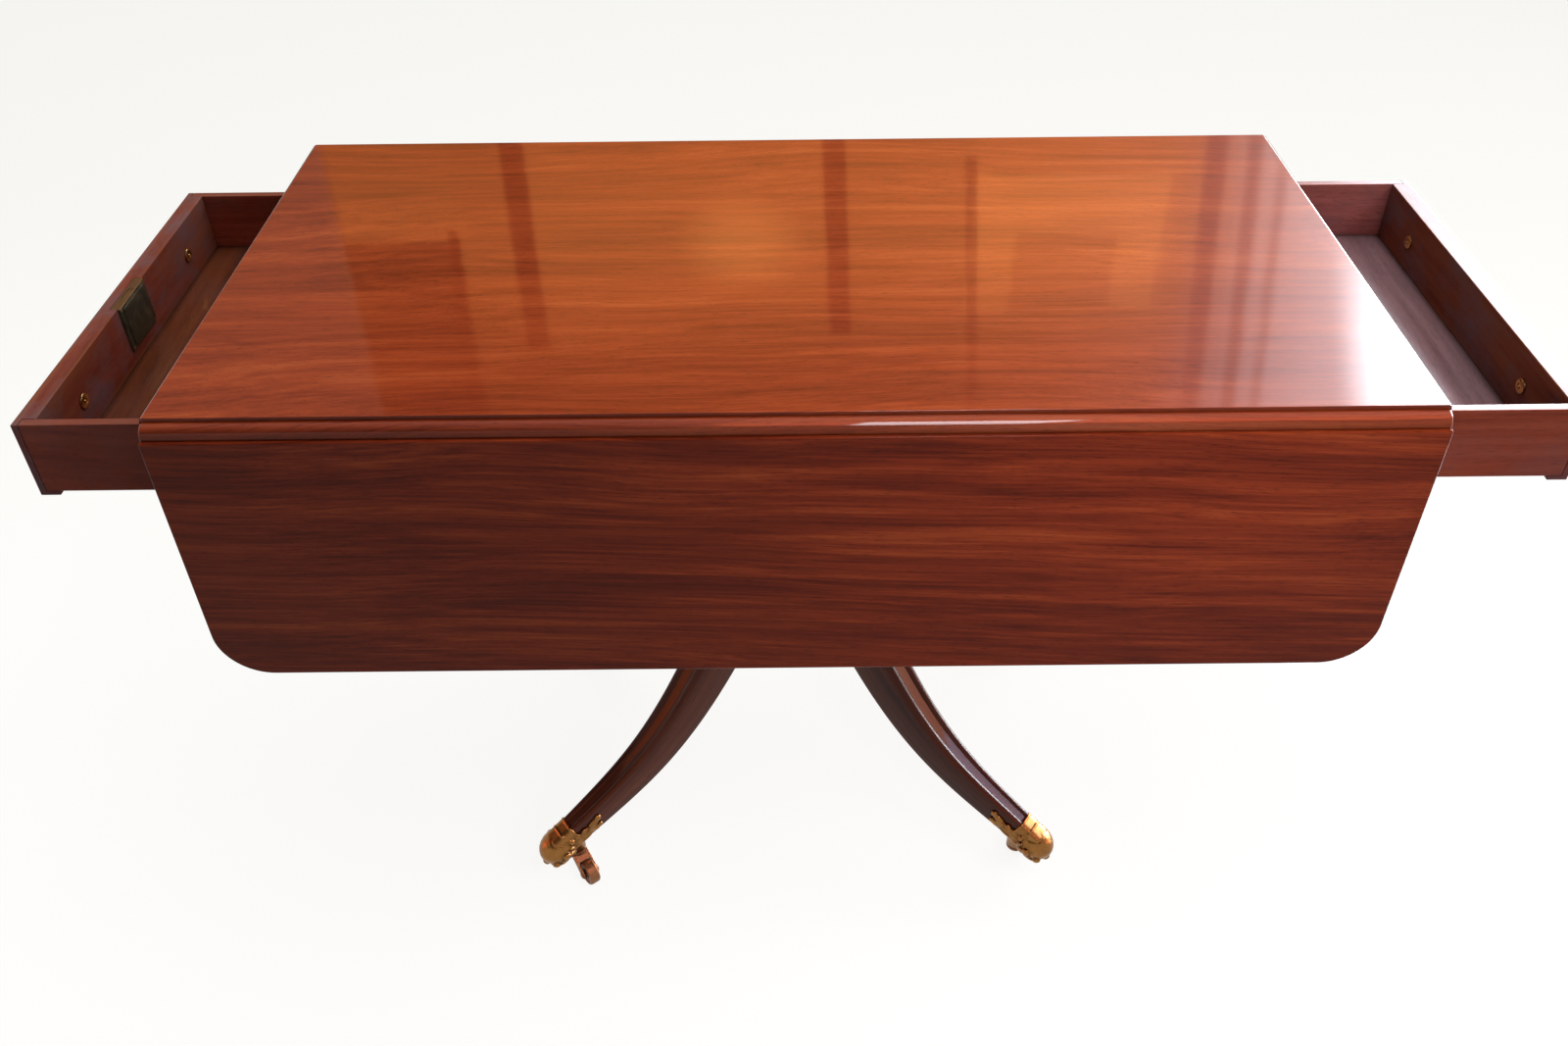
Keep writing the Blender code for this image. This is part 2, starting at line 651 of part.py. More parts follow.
def drawers():
    for name, end in ENDS.items():
        face = end * (RAIL_END + DRAWER_OPEN[name])
        rear = face - end * DRAWER_LENGTH
        inner = face - end * DRAWER_FRONT_THICK
        home = (face, 0, DRAWER_TOP)
        front = drawer_front(name, end, face)
        for row_name, row in ROWS.items():
            inside = row * (DRAWER_HALF - DRAWER_SIDE_THICK)
            side = add_part(
                f"drawer_side_{name}_{row_name}",
                box(
                    (face - end * (DRAWER_LAP + SEAT_GAP), rear),
                    (row * DRAWER_HALF, inside),
                    (DRAWER_SIDE_FOOT, DRAWER_TOP),
                ),
                LINING,
                home,
            )
            groove = inside + row * DRAWER_GROOVE
            past = (inner + end * DRAWER_FRONT_THICK, rear - end * DRAWER_FRONT_THICK)
            cut(side, box(past, (groove, inside - row * DRAWER_GROOVE), drawer_bottom_levels(SEAT_GAP)))
        clear = DRAWER_HALF - DRAWER_SIDE_THICK - SEAT_GAP
        levels = (drawer_bottom_levels(SEAT_GAP)[1], DRAWER_TOP - DRAWER_BACK_DROP)
        back = box((rear, rear + end * DRAWER_BACK_THICK), (-clear, clear), levels)
        add_part(f"drawer_back_{name}", back, LINING, home)
        held = clear + DRAWER_GROOVE
        deep = inner + end * (DRAWER_GROOVE - SEAT_GAP)
        board = box((rear, deep), (-held, held), drawer_bottom_levels(0.0))
        add_part(f"drawer_bottom_{name}", board, LINING, home)
        knobs(name, end, face)
        if name == "left":
            lock(front, end, face)


def knob_profile():
    """Radius and height of a knob, its shank and its nut; height 0 is the drawer front's face."""
    back = -DRAWER_FRONT_THICK - SEAT_GAP
    bulb = KNOB_REACH - KNOB_DOME
    dome = [(KNOB_RADIUS * math.sin(a), bulb + KNOB_DOME * math.cos(a)) for a in quarter(DOME_STEPS)[1:]]
    neck = [(KNOB_SHOULDER_RADIUS, bulb - KNOB_UNDERCUT), (KNOB_NECK_RADIUS, KNOB_NECK_HEIGHT)]
    rose = [
        (ROSE_RADIUS - ROSE_CHAMFER, ROSE_THICK),
        (ROSE_RADIUS, ROSE_THICK - ROSE_CHAMFER),
        (ROSE_RADIUS, SEAT_GAP),
    ]
    shank = [(SHANK_RADIUS, SEAT_GAP), (SHANK_RADIUS, back)]
    nut = [
        (NUT_RADIUS, back),
        (NUT_RADIUS, back - NUT_THICK + NUT_CHAMFER),
        (NUT_RADIUS - NUT_CHAMFER, back - NUT_THICK),
    ]
    return [(0.0, KNOB_REACH), *dome, *neck, *rose, *shank, *nut, (0.0, back - NUT_THICK)]


def knobs(name, end, face):
    outward = Vector((0, 0, 1)).rotation_difference(Vector((end, 0, 0))).to_matrix().to_4x4()
    for row_name, row in ROWS.items():
        place = Matrix.Translation((face, row * KNOB_SPACING / 2, KNOB_Z))
        add_turned(f"knob_{name}_{row_name}", knob_profile(), BRASS, place @ outward, ROUND_SIDES)


def lock(front, end, face):
    inner = face - end * DRAWER_FRONT_THICK
    bed = inner + end * LOCK_RECESS
    half = LOCK_WIDTH / 2
    foot = DRAWER_TOP - LOCK_HEIGHT
    past = inner - end * LOCK_THICK
    above = DRAWER_TOP + LOCK_HEIGHT
    pocket = half + SEAT_GAP
    cut(front, box((bed + end * SEAT_GAP, past), (-pocket, pocket), (foot - SEAT_GAP, above)))
    body = box((bed, bed - end * LOCK_THICK), (-half, half), (foot, DRAWER_TOP))
    case = add_part("lock_case", body, IRON, (face, 0, DRAWER_TOP))
    middle = face - bolt_from_front(end)
    bolt_top = DRAWER_TOP - SEAT_GAP
    bolt_foot = bolt_top - BOLT_LENGTH
    cut(case, bolt_space(middle, (bolt_foot - SEAT_GAP, above), SIDE_GAP))
    bolt = bolt_space(middle, (bolt_foot, bolt_top), 0.0)
    add_part("lock_bolt", bolt, BRASS, (middle, 0, DRAWER_TOP))

    z = DRAWER_TOP - KEYHOLE_DROP
    sunk = face - end * ESCUTCHEON_THICK
    outside = face + end * ESCUTCHEON_THICK
    cut(front, rod((sunk - end * SEAT_GAP, 0, z), (outside, 0, z), ESCUTCHEON_RADIUS + SEAT_GAP))
    disc = rod((face, 0, z), (sunk, 0, z), ESCUTCHEON_RADIUS)
    escutcheon = add_part("keyhole_escutcheon", disc, BRASS, (face, 0, z))
    slot = ((outside, past), (-KEYHOLE_WIDTH / 2, KEYHOLE_WIDTH / 2))
    levels = (z - KEYHOLE_HEIGHT / 2, z + KEYHOLE_HEIGHT / 2)
    cut(escutcheon, box(*slot, levels))
    cut(front, box(*slot, levels))


def pillar_profile():
    """Radius and height of the pillar from its tenon down to the drop under the drum."""
    shoulder = BEARER_FOOT - SEAT_GAP
    cap_foot = shoulder - 2 * PILLAR_RING
    neck = cap_foot - 3 * PILLAR_RING
    collar = DRUM_TOP + 4 * PILLAR_RING
    vase = collar + (neck - collar) * PILLAR_VASE_BELLY
    tenon = [(0.0, BEARER_TOP), (PILLAR_TENON_RADIUS, BEARER_TOP), (PILLAR_TENON_RADIUS, shoulder)]
    cap = [(PILLAR_CAP_RADIUS, shoulder), *ring(PILLAR_CAP_RADIUS, shoulder - PILLAR_RING, PILLAR_RING)]
    hollow = [(PILLAR_HOLLOW_RADIUS, cap_foot), (PILLAR_THROAT_RADIUS, cap_foot - PILLAR_RING)]
    upper = [(PILLAR_NECK_RADIUS, neck), *swell(neck, vase, collar)]
    band = [(PILLAR_NECK_RADIUS, collar), *ring(PILLAR_DRUM_RADIUS, collar - PILLAR_RING, PILLAR_RING)]
    waist = [(PILLAR_WAIST_RADIUS, collar - 3 * PILLAR_RING)]
    drum = [(PILLAR_DRUM_RADIUS, DRUM_TOP), (PILLAR_DRUM_RADIUS, DRUM_FOOT)]
    under = DRUM_FOOT - PILLAR_RING / 2
    drop = [
        (PILLAR_DROP_RADIUS * math.cos(a), under - PILLAR_DROP * math.sin(a))
        for a in quarter(DOME_STEPS)[:-1]
    ]
    return [*tenon, *cap, *hollow, *upper, *band, *waist, *drum, *drop, (0.0, under - PILLAR_DROP)]


def ring(radius, middle, half):
    """A half-round moulding that stands out to the radius."""
    return arc((radius - half, middle), half, RING_SWEEP, -RING_SWEEP, RING_STEPS)


def swell(top, widest, foot):
    """The pillar's vase: it widens from the neck to its widest level, then draws in to the foot."""
    grow = PILLAR_VASE_RADIUS - PILLAR_NECK_RADIUS
    shares = [i / SWELL_STEPS for i in range(1, SWELL_STEPS + 1)]
    above = [
        (PILLAR_NECK_RADIUS + grow * (1 - math.cos(math.pi * t)) / 2, top + (widest - top) * t)
        for t in shares
    ]
    below = [
        (PILLAR_NECK_RADIUS + grow * math.cos(math.pi / 2 * t), widest + (foot - widest) * t)
        for t in shares[:-1]
    ]
    return above + below


def leg_turns():
    """Each leg's name and the rotation from its own plane to its place round the pillar."""
    for row_name, row in ROWS.items():
        for end_name, end in ENDS.items():
            heading = math.atan2(row * math.sin(LEG_ANGLE), end * math.cos(LEG_ANGLE))
            yield f"{row_name}_{end_name}", Matrix.Rotation(heading, 4, "Z")


def tenon(gap):
    """A leg's tenon, in the leg's own plane, widened by the gap."""
    deep = PILLAR_DRUM_RADIUS - TENON_LENGTH - gap
    proud = PILLAR_DRUM_RADIUS + TENON_LENGTH
    wide = TENON_WIDTH / 2 + gap
    levels = (LEG_ROOT_HEIGHT - TENON_BELOW - gap, LEG_ROOT_HEIGHT + TENON_ABOVE + gap)
    return box((deep, proud), (-wide, wide), levels)


def pedestal():
    half = RAIL_OUTER
    bearer = add_part(
        "pedestal_bearer",
        box((-BEARER_LENGTH / 2, BEARER_LENGTH / 2), (-half, half), (BEARER_FOOT, BEARER_TOP)),
        LEG_WOOD,
    )
    above, below = BEARER_TOP + BEARER_THICK, BEARER_FOOT - BEARER_THICK
    cut(bearer, rod((0, 0, below), (0, 0, above), PILLAR_TENON_RADIUS + SEAT_GAP, TURNED_STEPS))
    pillar = add_turned("pillar", pillar_profile(), LEG_WOOD, Matrix.Identity(4), TURNED_STEPS)
    for _, turn in leg_turns():
        mortise = tenon(SEAT_GAP)
        mortise.transform(turn)
        cut(pillar, mortise)


def leg_path():
    """Points down the middle of a leg as (x, 0, z), and the share of the full section at each."""
    root = Vector((PILLAR_DRUM_RADIUS, 0, LEG_ROOT_HEIGHT))
    toe = Vector((LEG_TOE_REACH, 0, LEG_TOE_HEIGHT))
    leaving = Vector((math.cos(LEG_ROOT_SLOPE), 0, -math.sin(LEG_ROOT_SLOPE)))
    arriving = Vector((math.cos(LEG_TOE_SLOPE), 0, -math.sin(LEG_TOE_SLOPE)))
    first, last = root + leaving * LEG_ROOT_HANDLE, toe - arriving * LEG_TOE_HANDLE
    swept = interpolate_bezier(root, first, last, toe, LEG_STATIONS)
    crown = root - leaving * (PILLAR_DRUM_RADIUS - TENON_LENGTH) / math.cos(LEG_ROOT_SLOPE)
    shares = [1 + (LEG_TAPER - 1) * i / (LEG_STATIONS - 1) for i in range(LEG_STATIONS)]
    return [crown, *swept], [1.0, *shares]


def leg_section():
    """A leg's section: across, then towards its top face, which has a reed along each edge."""
    half, rise = LEG_WIDTH / 2, LEG_DEPTH / 2
    reed = arc((half - LEG_REED, rise - LEG_REED), LEG_REED, 0, LEG_REED_SWEEP, REED_STEPS)
    right = [(half, -rise), *reed]
    return right + [(-x, y) for x, y in reversed(right)]


def leg_mesh(gap):
    """A leg in its own plane, grown all round and past its toe by the gap."""
    section = leg_section()
    grown = [(x * (1 + 2 * gap / LEG_WIDTH), y * (1 + 2 * gap / LEG_DEPTH)) for x, y in section]
    profile = bpy.data.objects.new("leg_section", flat_curve(grown, "leg_section"))
    CUTTERS.objects.link(profile)
    profile.hide_render = True
    points, shares = leg_path()
    if gap:
        points[-1] = points[-1] + (points[-1] - points[-2]).normalized() * gap
    curve = bpy.data.curves.new("leg", "CURVE")
    curve.dimensions = "3D"
    curve.twist_mode = "Z_UP"
    curve.bevel_mode = "OBJECT"
    curve.bevel_object = profile
    curve.use_fill_caps = True
    spline = curve.splines.new("POLY")
    spline.points.add(len(points) - 1)
    for point, place, share in zip(spline.points, points, shares):
        point.co = (*place, 1.0)
        point.radius = share
    return mesh_of_curve(curve, Matrix.Identity(4))


def legs():
    for name, turn in leg_turns():
        mesh = leg_mesh(0.0)
        mesh.transform(turn)
        root = turn @ Vector((PILLAR_DRUM_RADIUS, 0, LEG_ROOT_HEIGHT))
        leg = add_part(f"leg_{name}", mesh, LEG_WOOD, root)
        around = PILLAR_DRUM_RADIUS + SEAT_GAP
        drum = rod((0, 0, DRUM_FOOT - LEG_DEPTH), (0, 0, DRUM_TOP + LEG_DEPTH), around, TURNED_STEPS)
        body = combine(leg, drum, "DIFFERENCE", "MANIFOLD")
        kept = tenon(0.0)
        kept.transform(turn)
        cut(body, kept)


def cap_frame(turn):
    """From a cap's own frame to the table's. The cap's X runs along the toe, its Z out of the top face."""
    tilt = Matrix.Rotation(LEG_TOE_SLOPE, 4, "Y")
    return turn @ Matrix.Translation((LEG_TOE_REACH, 0, LEG_TOE_HEIGHT)) @ tilt


def bulb_mesh(frame):
    bm = bmesh.new()
    bmesh.ops.create_uvsphere(bm, u_segments=ROUND_SIDES, v_segments=ROUND_SIDES // 2, radius=1.0)
    bmesh.ops.scale(bm, vec=(CAP_BULB_LENGTH, CAP_BULB_SIDE, CAP_BULB_HEIGHT), verts=bm.verts)
    bm.transform(frame @ Matrix.Translation((CAP_BULB_AHEAD, 0, -CAP_BULB_DROP)))
    return mesh_from(bm, "bulb")


def toe_caps():
    wide = LEG_WIDTH * LEG_TAPER / 2 + CAP_WALL
    deep = LEG_DEPTH * LEG_TAPER / 2 + CAP_WALL
    for name, turn in leg_turns():
        frame = cap_frame(turn)
        swivel = turn @ Vector((SWIVEL_REACH, 0, BOSS_FOOT))
        cap = add_part(f"toe_cap_{name}", bulb_mesh(frame), BRASS, swivel, smooth=True)
        collar = box((-CAP_COLLAR, CAP_BULB_AHEAD), (-wide, wide), (-deep, deep), CAP_WALL)
        collar.transform(frame)
        combine(cap, collar, "UNION", "MANIFOLD")
        for side in (-1, 1):
            tongue = box(
                (-CAP_COLLAR - CAP_TONGUE, 0),
                (side * wide / 2, side * (wide + CAP_WALL)),
                (-deep + CAP_WALL, -deep + CAP_WALL + CAP_TONGUE_HEIGHT),
                CAP_WALL,
            )
            tongue.transform(frame)
            combine(cap, tongue, "UNION", "MANIFOLD")
        inside = turn @ Vector((SWIVEL_REACH, 0, LEG_TOE_HEIGHT))
        combine(cap, rod(swivel, inside, HORN_RADIUS), "UNION", "MANIFOLD")
        socket = leg_mesh(SEAT_GAP)
        socket.transform(turn)
        combine(cap, socket, "DIFFERENCE", "MANIFOLD")
        below = swivel - Vector((0, 0, HORN_THICK))
        hole_top = swivel + Vector((0, 0, STEM_LENGTH + SEAT_GAP))
        combine(cap, rod(below, hole_top, STEM_RADIUS + RUN_GAP), "DIFFERENCE", "MANIFOLD")


def link_outline():
    """A horn's arm as (trail, z): from the swivel plate to the axle's eye, round at both ends."""
    top = HORN_THICK / 2
    start = Vector((0, HORN_TOP - top))
    eye = Vector((CASTOR_TRAIL, AXLE_Z))
    lean = math.degrees(math.atan2(eye.y - start.y, eye.x - start.x))
    near = arc(start, top, lean + 90, lean + 270)
    return near + arc(eye, HORN_EYE_RADIUS, lean - 90, lean + 90)


def wheel_profile():
    """Radius and height of a wheel and its axle along the axle, from end to end."""
    head = ARM_OUTER + SEAT_GAP
    half = WHEEL_WIDTH / 2
    upper = [
        (0.0, head + AXLE_HEAD),
        (AXLE_HEAD_RADIUS - AXLE_HEAD_CHAMFER, head + AXLE_HEAD),
        (AXLE_HEAD_RADIUS, head),
        (AXLE_RADIUS, head),
        (AXLE_RADIUS, half),
        (WHEEL_RADIUS - WHEEL_CROWN, half),
        (WHEEL_RADIUS, half - WHEEL_CROWN),
    ]
    return upper + [(radius, -height) for radius, height in reversed(upper)]


def castors():
    for name, turn in leg_turns():
        pivot = turn @ Vector((SWIVEL_REACH, 0, 0))
        place = Matrix.Translation(pivot) @ Matrix.Rotation(CASTOR_HEADINGS[name], 4, "Z")
        disc = rod((0, 0, HORN_FOOT), (0, 0, HORN_TOP), HORN_RADIUS)
        disc.transform(place)
        horn = add_part(f"castor_horn_{name}", disc, BRASS, (pivot.x, pivot.y, HORN_TOP))
        stem = rod((0, 0, HORN_FOOT), (0, 0, HORN_TOP + STEM_LENGTH), STEM_RADIUS)
        stem.transform(place)
        join(horn, stem)
        for side in (-1, 1):
            levels = sorted((-side * ARM_INNER, -side * ARM_OUTER))
            arm = plate(link_outline(), *levels, ALONG_Y)
            arm.transform(place)
            join(horn, arm)
        past = 2 * ARM_OUTER
        eye = rod((CASTOR_TRAIL, -past, AXLE_Z), (CASTOR_TRAIL, past, AXLE_Z), AXLE_RADIUS + RUN_GAP)
        eye.transform(place)
        cut(horn, eye)
        lying = Matrix.Rotation(math.radians(90), 4, "X")
        axle = place @ Matrix.Translation((CASTOR_TRAIL, 0, AXLE_Z)) @ lying
        add_turned(f"castor_wheel_{name}", wheel_profile(), BRASS, axle, TURNED_STEPS)


table_top()
leaves()
hinges()
side_rails()
fly_blocks()
flies()
end_rails()
runners()
drawers()
pedestal()
legs()
toe_caps()
castors()
bpy.context.view_layer.update()
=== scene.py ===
"""Looks of a pembroke table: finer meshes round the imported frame, mahogany, brass and iron, stage, camera.

All lengths are in metres, in the frame's own axes: +X along the table, -Y to the front, +Z up.
"""

import json
from math import asin, atan2, cos, degrees, pi, radians, sin, sqrt, tau

import bmesh
import bpy
from mathutils import Matrix, Vector
from mathutils.geometry import interpolate_bezier


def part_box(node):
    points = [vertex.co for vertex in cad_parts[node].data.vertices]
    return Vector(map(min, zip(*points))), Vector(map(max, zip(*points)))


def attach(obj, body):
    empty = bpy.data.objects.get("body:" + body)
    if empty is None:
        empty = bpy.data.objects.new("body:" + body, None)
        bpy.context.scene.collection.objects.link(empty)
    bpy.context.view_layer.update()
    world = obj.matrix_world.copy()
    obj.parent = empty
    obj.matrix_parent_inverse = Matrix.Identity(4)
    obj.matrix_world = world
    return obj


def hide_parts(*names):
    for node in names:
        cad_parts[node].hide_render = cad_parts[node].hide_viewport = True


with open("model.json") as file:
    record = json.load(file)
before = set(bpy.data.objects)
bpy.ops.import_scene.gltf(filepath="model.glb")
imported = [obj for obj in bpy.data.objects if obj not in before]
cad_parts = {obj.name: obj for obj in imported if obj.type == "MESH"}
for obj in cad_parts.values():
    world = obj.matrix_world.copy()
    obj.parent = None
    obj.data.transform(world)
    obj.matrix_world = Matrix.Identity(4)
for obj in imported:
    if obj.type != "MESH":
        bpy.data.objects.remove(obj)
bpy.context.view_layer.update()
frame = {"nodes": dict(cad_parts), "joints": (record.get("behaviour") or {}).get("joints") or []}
JOINTS = {joint["name"]: joint for joint in frame["joints"]}
ROWS = {"front": -1, "back": 1}
ENDS = {"left": -1, "right": 1}
LEGS = [f"{row}_{end}" for row in ROWS for end in ENDS]

# Rule joint: an ovolo along each side of the top in a cove along each leaf, read from the frame.
TOP_LOW, TOP_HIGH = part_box("table_top")
_, HALF_WIDTH, JOINT_Z = JOINTS["back_leaf_fold"]["pos_m"]
JOINT_RADIUS = TOP_HIGH.y - HALF_WIDTH
COVE_GAP = 0.0006
TOP_ARRIS = 0.0007
TOP_RIM = 0.012
TOP_END_ROUND = 0.0025
LEAF_CORNER = 0.048
LEAF_ROUND = 0.0015
HINGE_PLATE = 0.002
HINGE_BARREL = 0.0042

# Gap round a piece in its pocket, and a cutter's reach past what it cuts.
FIT = 0.0003
PAST = JOINT_RADIUS

# Drawers and their fittings.
DRAWER_ARRIS = 0.0009
RAIL_ARRIS = 0.0008
KEYHOLE_WIDTH = 0.004
KEYHOLE_HEIGHT = 0.01
DOME_FOOT, DOME_RISE = 0.62, 0.38  # shares of the knob's reach
KNOB_NECK = ((0.93, 0.5), (0.62, 0.4), (0.42, 0.27), (0.48, 0.17))  # shares of its radius and reach
ROSE_THICK = 0.0025
ROSE_FACE, ROSE_RIM = 0.7, 0.75  # shares of the knob's radius
SHANK_RADIUS = 0.0025
NUT_RADIUS = 0.007
NUT_THICK = 0.003
NUT_RIM = ((1.0, 0.0), (1.0, 0.55), (0.84, 0.85))  # shares of its radius and thickness
NUT_EYE = ((1.25, 0.9), (1.1, 0.75), (0.8, 0.8), (0.7, 1.0))  # of the shank's radius and the nut
LOCK_EDGE = 0.0006
COVER_INSET = 0.006
COVER_RISE = 0.0012
COVER_CORNER = 0.002
COVER_EDGE = 0.0008
SELVEDGE_THICK = 0.0014
SELVEDGE_EDGE = 0.0004
SCREW_RADIUS = 0.0019
SCREW_SLOT, SCREW_CORE, SCREW_BEVEL = 0.16, 0.97, 0.06  # shares of its radius
SCREW_DEPTH, SCREW_FLOOR, SCREW_RIM, SCREW_PROUD = -0.3, -0.18, 0.024, 0.08  # levels in radii
SCREW_TURNS = (0.4, 1.3, 2.2, 0.9)  # radians

# Legs and pillar: the same forms as the solids, with more steps.
LEG_ANGLE = radians(34.5)
LEG_ROOT_HEIGHT = 0.362
LEG_ROOT_SLOPE = radians(62)
LEG_ROOT_HANDLE = 0.26
LEG_TOE_REACH = 0.329
LEG_TOE_HEIGHT = 0.063
LEG_TOE_SLOPE = radians(28)
LEG_TOE_HANDLE = 0.125
LEG_WIDTH = 0.044
LEG_DEPTH = 0.059
LEG_TAPER = 0.52
LEG_REED = 0.0075
LEG_REED_SWEEP = 150  # degrees
LEG_HOLLOW = 0.0002
LEG_HOLLOW_STEPS = (0.12, 0.4, 0.7)  # shares of the way from a reed to the middle
LEG_FOOT_ROUND = 0.003
LEG_STATIONS = 56
DRUM_RADIUS = 0.045
DRUM_MARGIN = 0.012
DRUM_RISE = LEG_DEPTH / 2 / cos(LEG_ROOT_SLOPE) + DRUM_MARGIN
DRUM_TOP = LEG_ROOT_HEIGHT + DRUM_RISE
DRUM_FOOT = LEG_ROOT_HEIGHT - DRUM_RISE
DRUM_ARRIS = 0.001
PILLAR_TENON = 0.018
RING = 0.006
RING_SWEEP = 80  # degrees
# Below the capital: radius and drop.
PILLAR_THROAT = ((0.042, 0.0), (0.042, 0.001), (0.036, 0.004), (0.034, 0.006), (0.0322, 0.012))
PILLAR_NECK, PILLAR_VASE, PILLAR_WAIST = (DRUM_RADIUS * share for share in (0.69, 0.955, 0.855))
PILLAR_BELLY = 0.35  # share of the vase's height
PILLAR_FLARE = 0.0015
PILLAR_COVE = 0.002
DROP_RADIUS = 0.036
DROP_SHADOW = 0.0005

# Toe caps, in their own frame: X along the toe, Z out of the leg's top face.
CAP_WALL = 0.0025
CAP_COLLAR = 0.016
CAP_CORNER = 0.0085
BEAD = 0.0032
BEAD_RISE = 0.0008
BULB = Vector((0.025, 0.022, 0.021))
BULB_CENTRE = Vector((0.012, 0.0, -0.001))
CAP_RELIEF = 0.0017
CAP_LEAF_ROOT = Vector((-0.5, 0.0, -0.866))
CAP_LEAVES = 3  # on each side of the middle one
CAP_LEAF_APART, CAP_LEAF_TIP, CAP_LEAF_SHORTER = 46, 104, 6  # degrees
CAP_LEAF_LUMPS = (  # place on the way to the tip, half length and width; half thickness and lift in reliefs
    (0.45, 0.0066, 0.0036, 1.7, 0.0),
    (0.66, 0.0088, 0.0048, 1.7, 0.0),
    (0.95, 0.0048, 0.005, 2.0, 0.4),
)
CAP_BUD = (0.78, 0.006, 0.0026, 1.2, 0.0)
TONGUE_LUMPS = (  # along the leg, above its lower edge, half length, half height, half thickness
    (0.003, 0.01, 0.011, 0.0095, 0.0034), (-0.01, 0.01, 0.011, 0.0086, 0.0032),
    (-0.021, 0.01, 0.01, 0.0078, 0.003), (-0.03, 0.0105, 0.008, 0.0068, 0.0028),
    (-0.038, 0.0155, 0.0085, 0.0048, 0.003), (-0.045, 0.0178, 0.0046, 0.0044, 0.0038),
    (-0.036, 0.0056, 0.007, 0.0042, 0.0028), (-0.041, 0.006, 0.0036, 0.0036, 0.0032),
    (-0.003, 0.018, 0.005, 0.0044, 0.0034), (-0.013, 0.0172, 0.005, 0.004, 0.0032),
    (-0.023, 0.0162, 0.0046, 0.0038, 0.003),
)
VEINS = ((-0.004, 0.0066), (-0.02, 0.0062), (-0.006, 0.0122), (-0.022, 0.0116), (-0.035, 0.015))
VEIN_SIZE = (0.0085, 0.0014, 0.0017)
CAP_VOXEL = 0.0006
RELAX, RELAX_ROUNDS = 0.5, 3
BOSS_HEIGHT = 0.02
BOSS_ARRIS = 0.0008

# Castors.
STEM_LENGTH = 0.013
HORN_RADIUS = 0.0105
HORN_THICK = 0.0042
HORN_ROUND = 0.0012
HORN_ARM = 0.003
ARM_EDGE = 0.0007
WEB_EDGE = 0.0004
EYE_RADIUS = 0.005
CASTOR_TRAIL = 0.025
WHEEL_GAP = 0.00025
WHEEL_PLAY = 0.0005
WHEEL_RADIUS = 0.015
WHEEL_WIDTH = 0.013
WHEEL_FACE = (  # radius, depth below the hub's face
    (0.006, 0.0), (0.0065, 0.0012), (WHEEL_RADIUS * 0.74, 0.0014), (WHEEL_RADIUS * 0.8, 0.0002),
    (WHEEL_RADIUS - 0.0012, 0.0002), (WHEEL_RADIUS - 0.0003, 0.0012), (WHEEL_RADIUS, WHEEL_WIDTH / 4),
)
AXLE_RADIUS = 0.0025
HEAD_RADIUS = 0.004
HEAD_RIM, HEAD_RISE = 0.0004, 0.0012

# Camera, found from the photograph's corners; its image is 1600 by 1067.
CAMERA_PLACE = Vector((-0.0082, -1.1708, 1.3381))
CAMERA_YAW = radians(-0.112)
CAMERA_PITCH = radians(39.194)
CAMERA_ROLL = radians(-0.648)
CAMERA_LENS = 30.737

# Colours that come in over the wood's own: pores, which also serve as painted shade on faces that are not
# level; painted shade in corners; dust with a painted sheen; wear with a painted highlight.
PORE_AND_SHADE_COLOUR = (0.02, 0.004, 0.002)
CORNER_SHADE_COLOUR = (0.012, 0.005, 0.003)
DUST_AND_SHEEN_COLOUR = (0.19, 0.13, 0.15)
WORN_AND_LIT_MAHOGANY = (0.3, 0.1, 0.04)
GRAIN_RELIEF, BRASS_RELIEF, IRON_RELIEF = 0.00012, 0.00015, 0.0003

NOISES = {  # repeats in a metre along and across the grain, detail, roughness and distortion
    "drift": (1.3, 2.6, 2.0, 0.5, 0.0),
    "figure": (1.5, 17.0, 3.0, 0.5, 0.3),
    "streak": (3.2, 80.0, 4.0, 0.6, 0.0),
    "line": (8.0, 390.0, 2.0, 0.5, 0.0),
    "pore": (75.0, 1500.0, 1.0, 0.5, 0.0),
    "dust": (11.0, 16.0, 5.0, 0.65, 0.0),
    "swell": (9.0, 15.0, 1.0, 0.5, 0.0),
    "brass": (70.0, 70.0, 4.0, 0.6, 0.0),
    "speck": (520.0, 520.0, 2.0, 0.5, 0.0),
    "iron": (90.0, 90.0, 4.0, 0.6, 0.0),
}


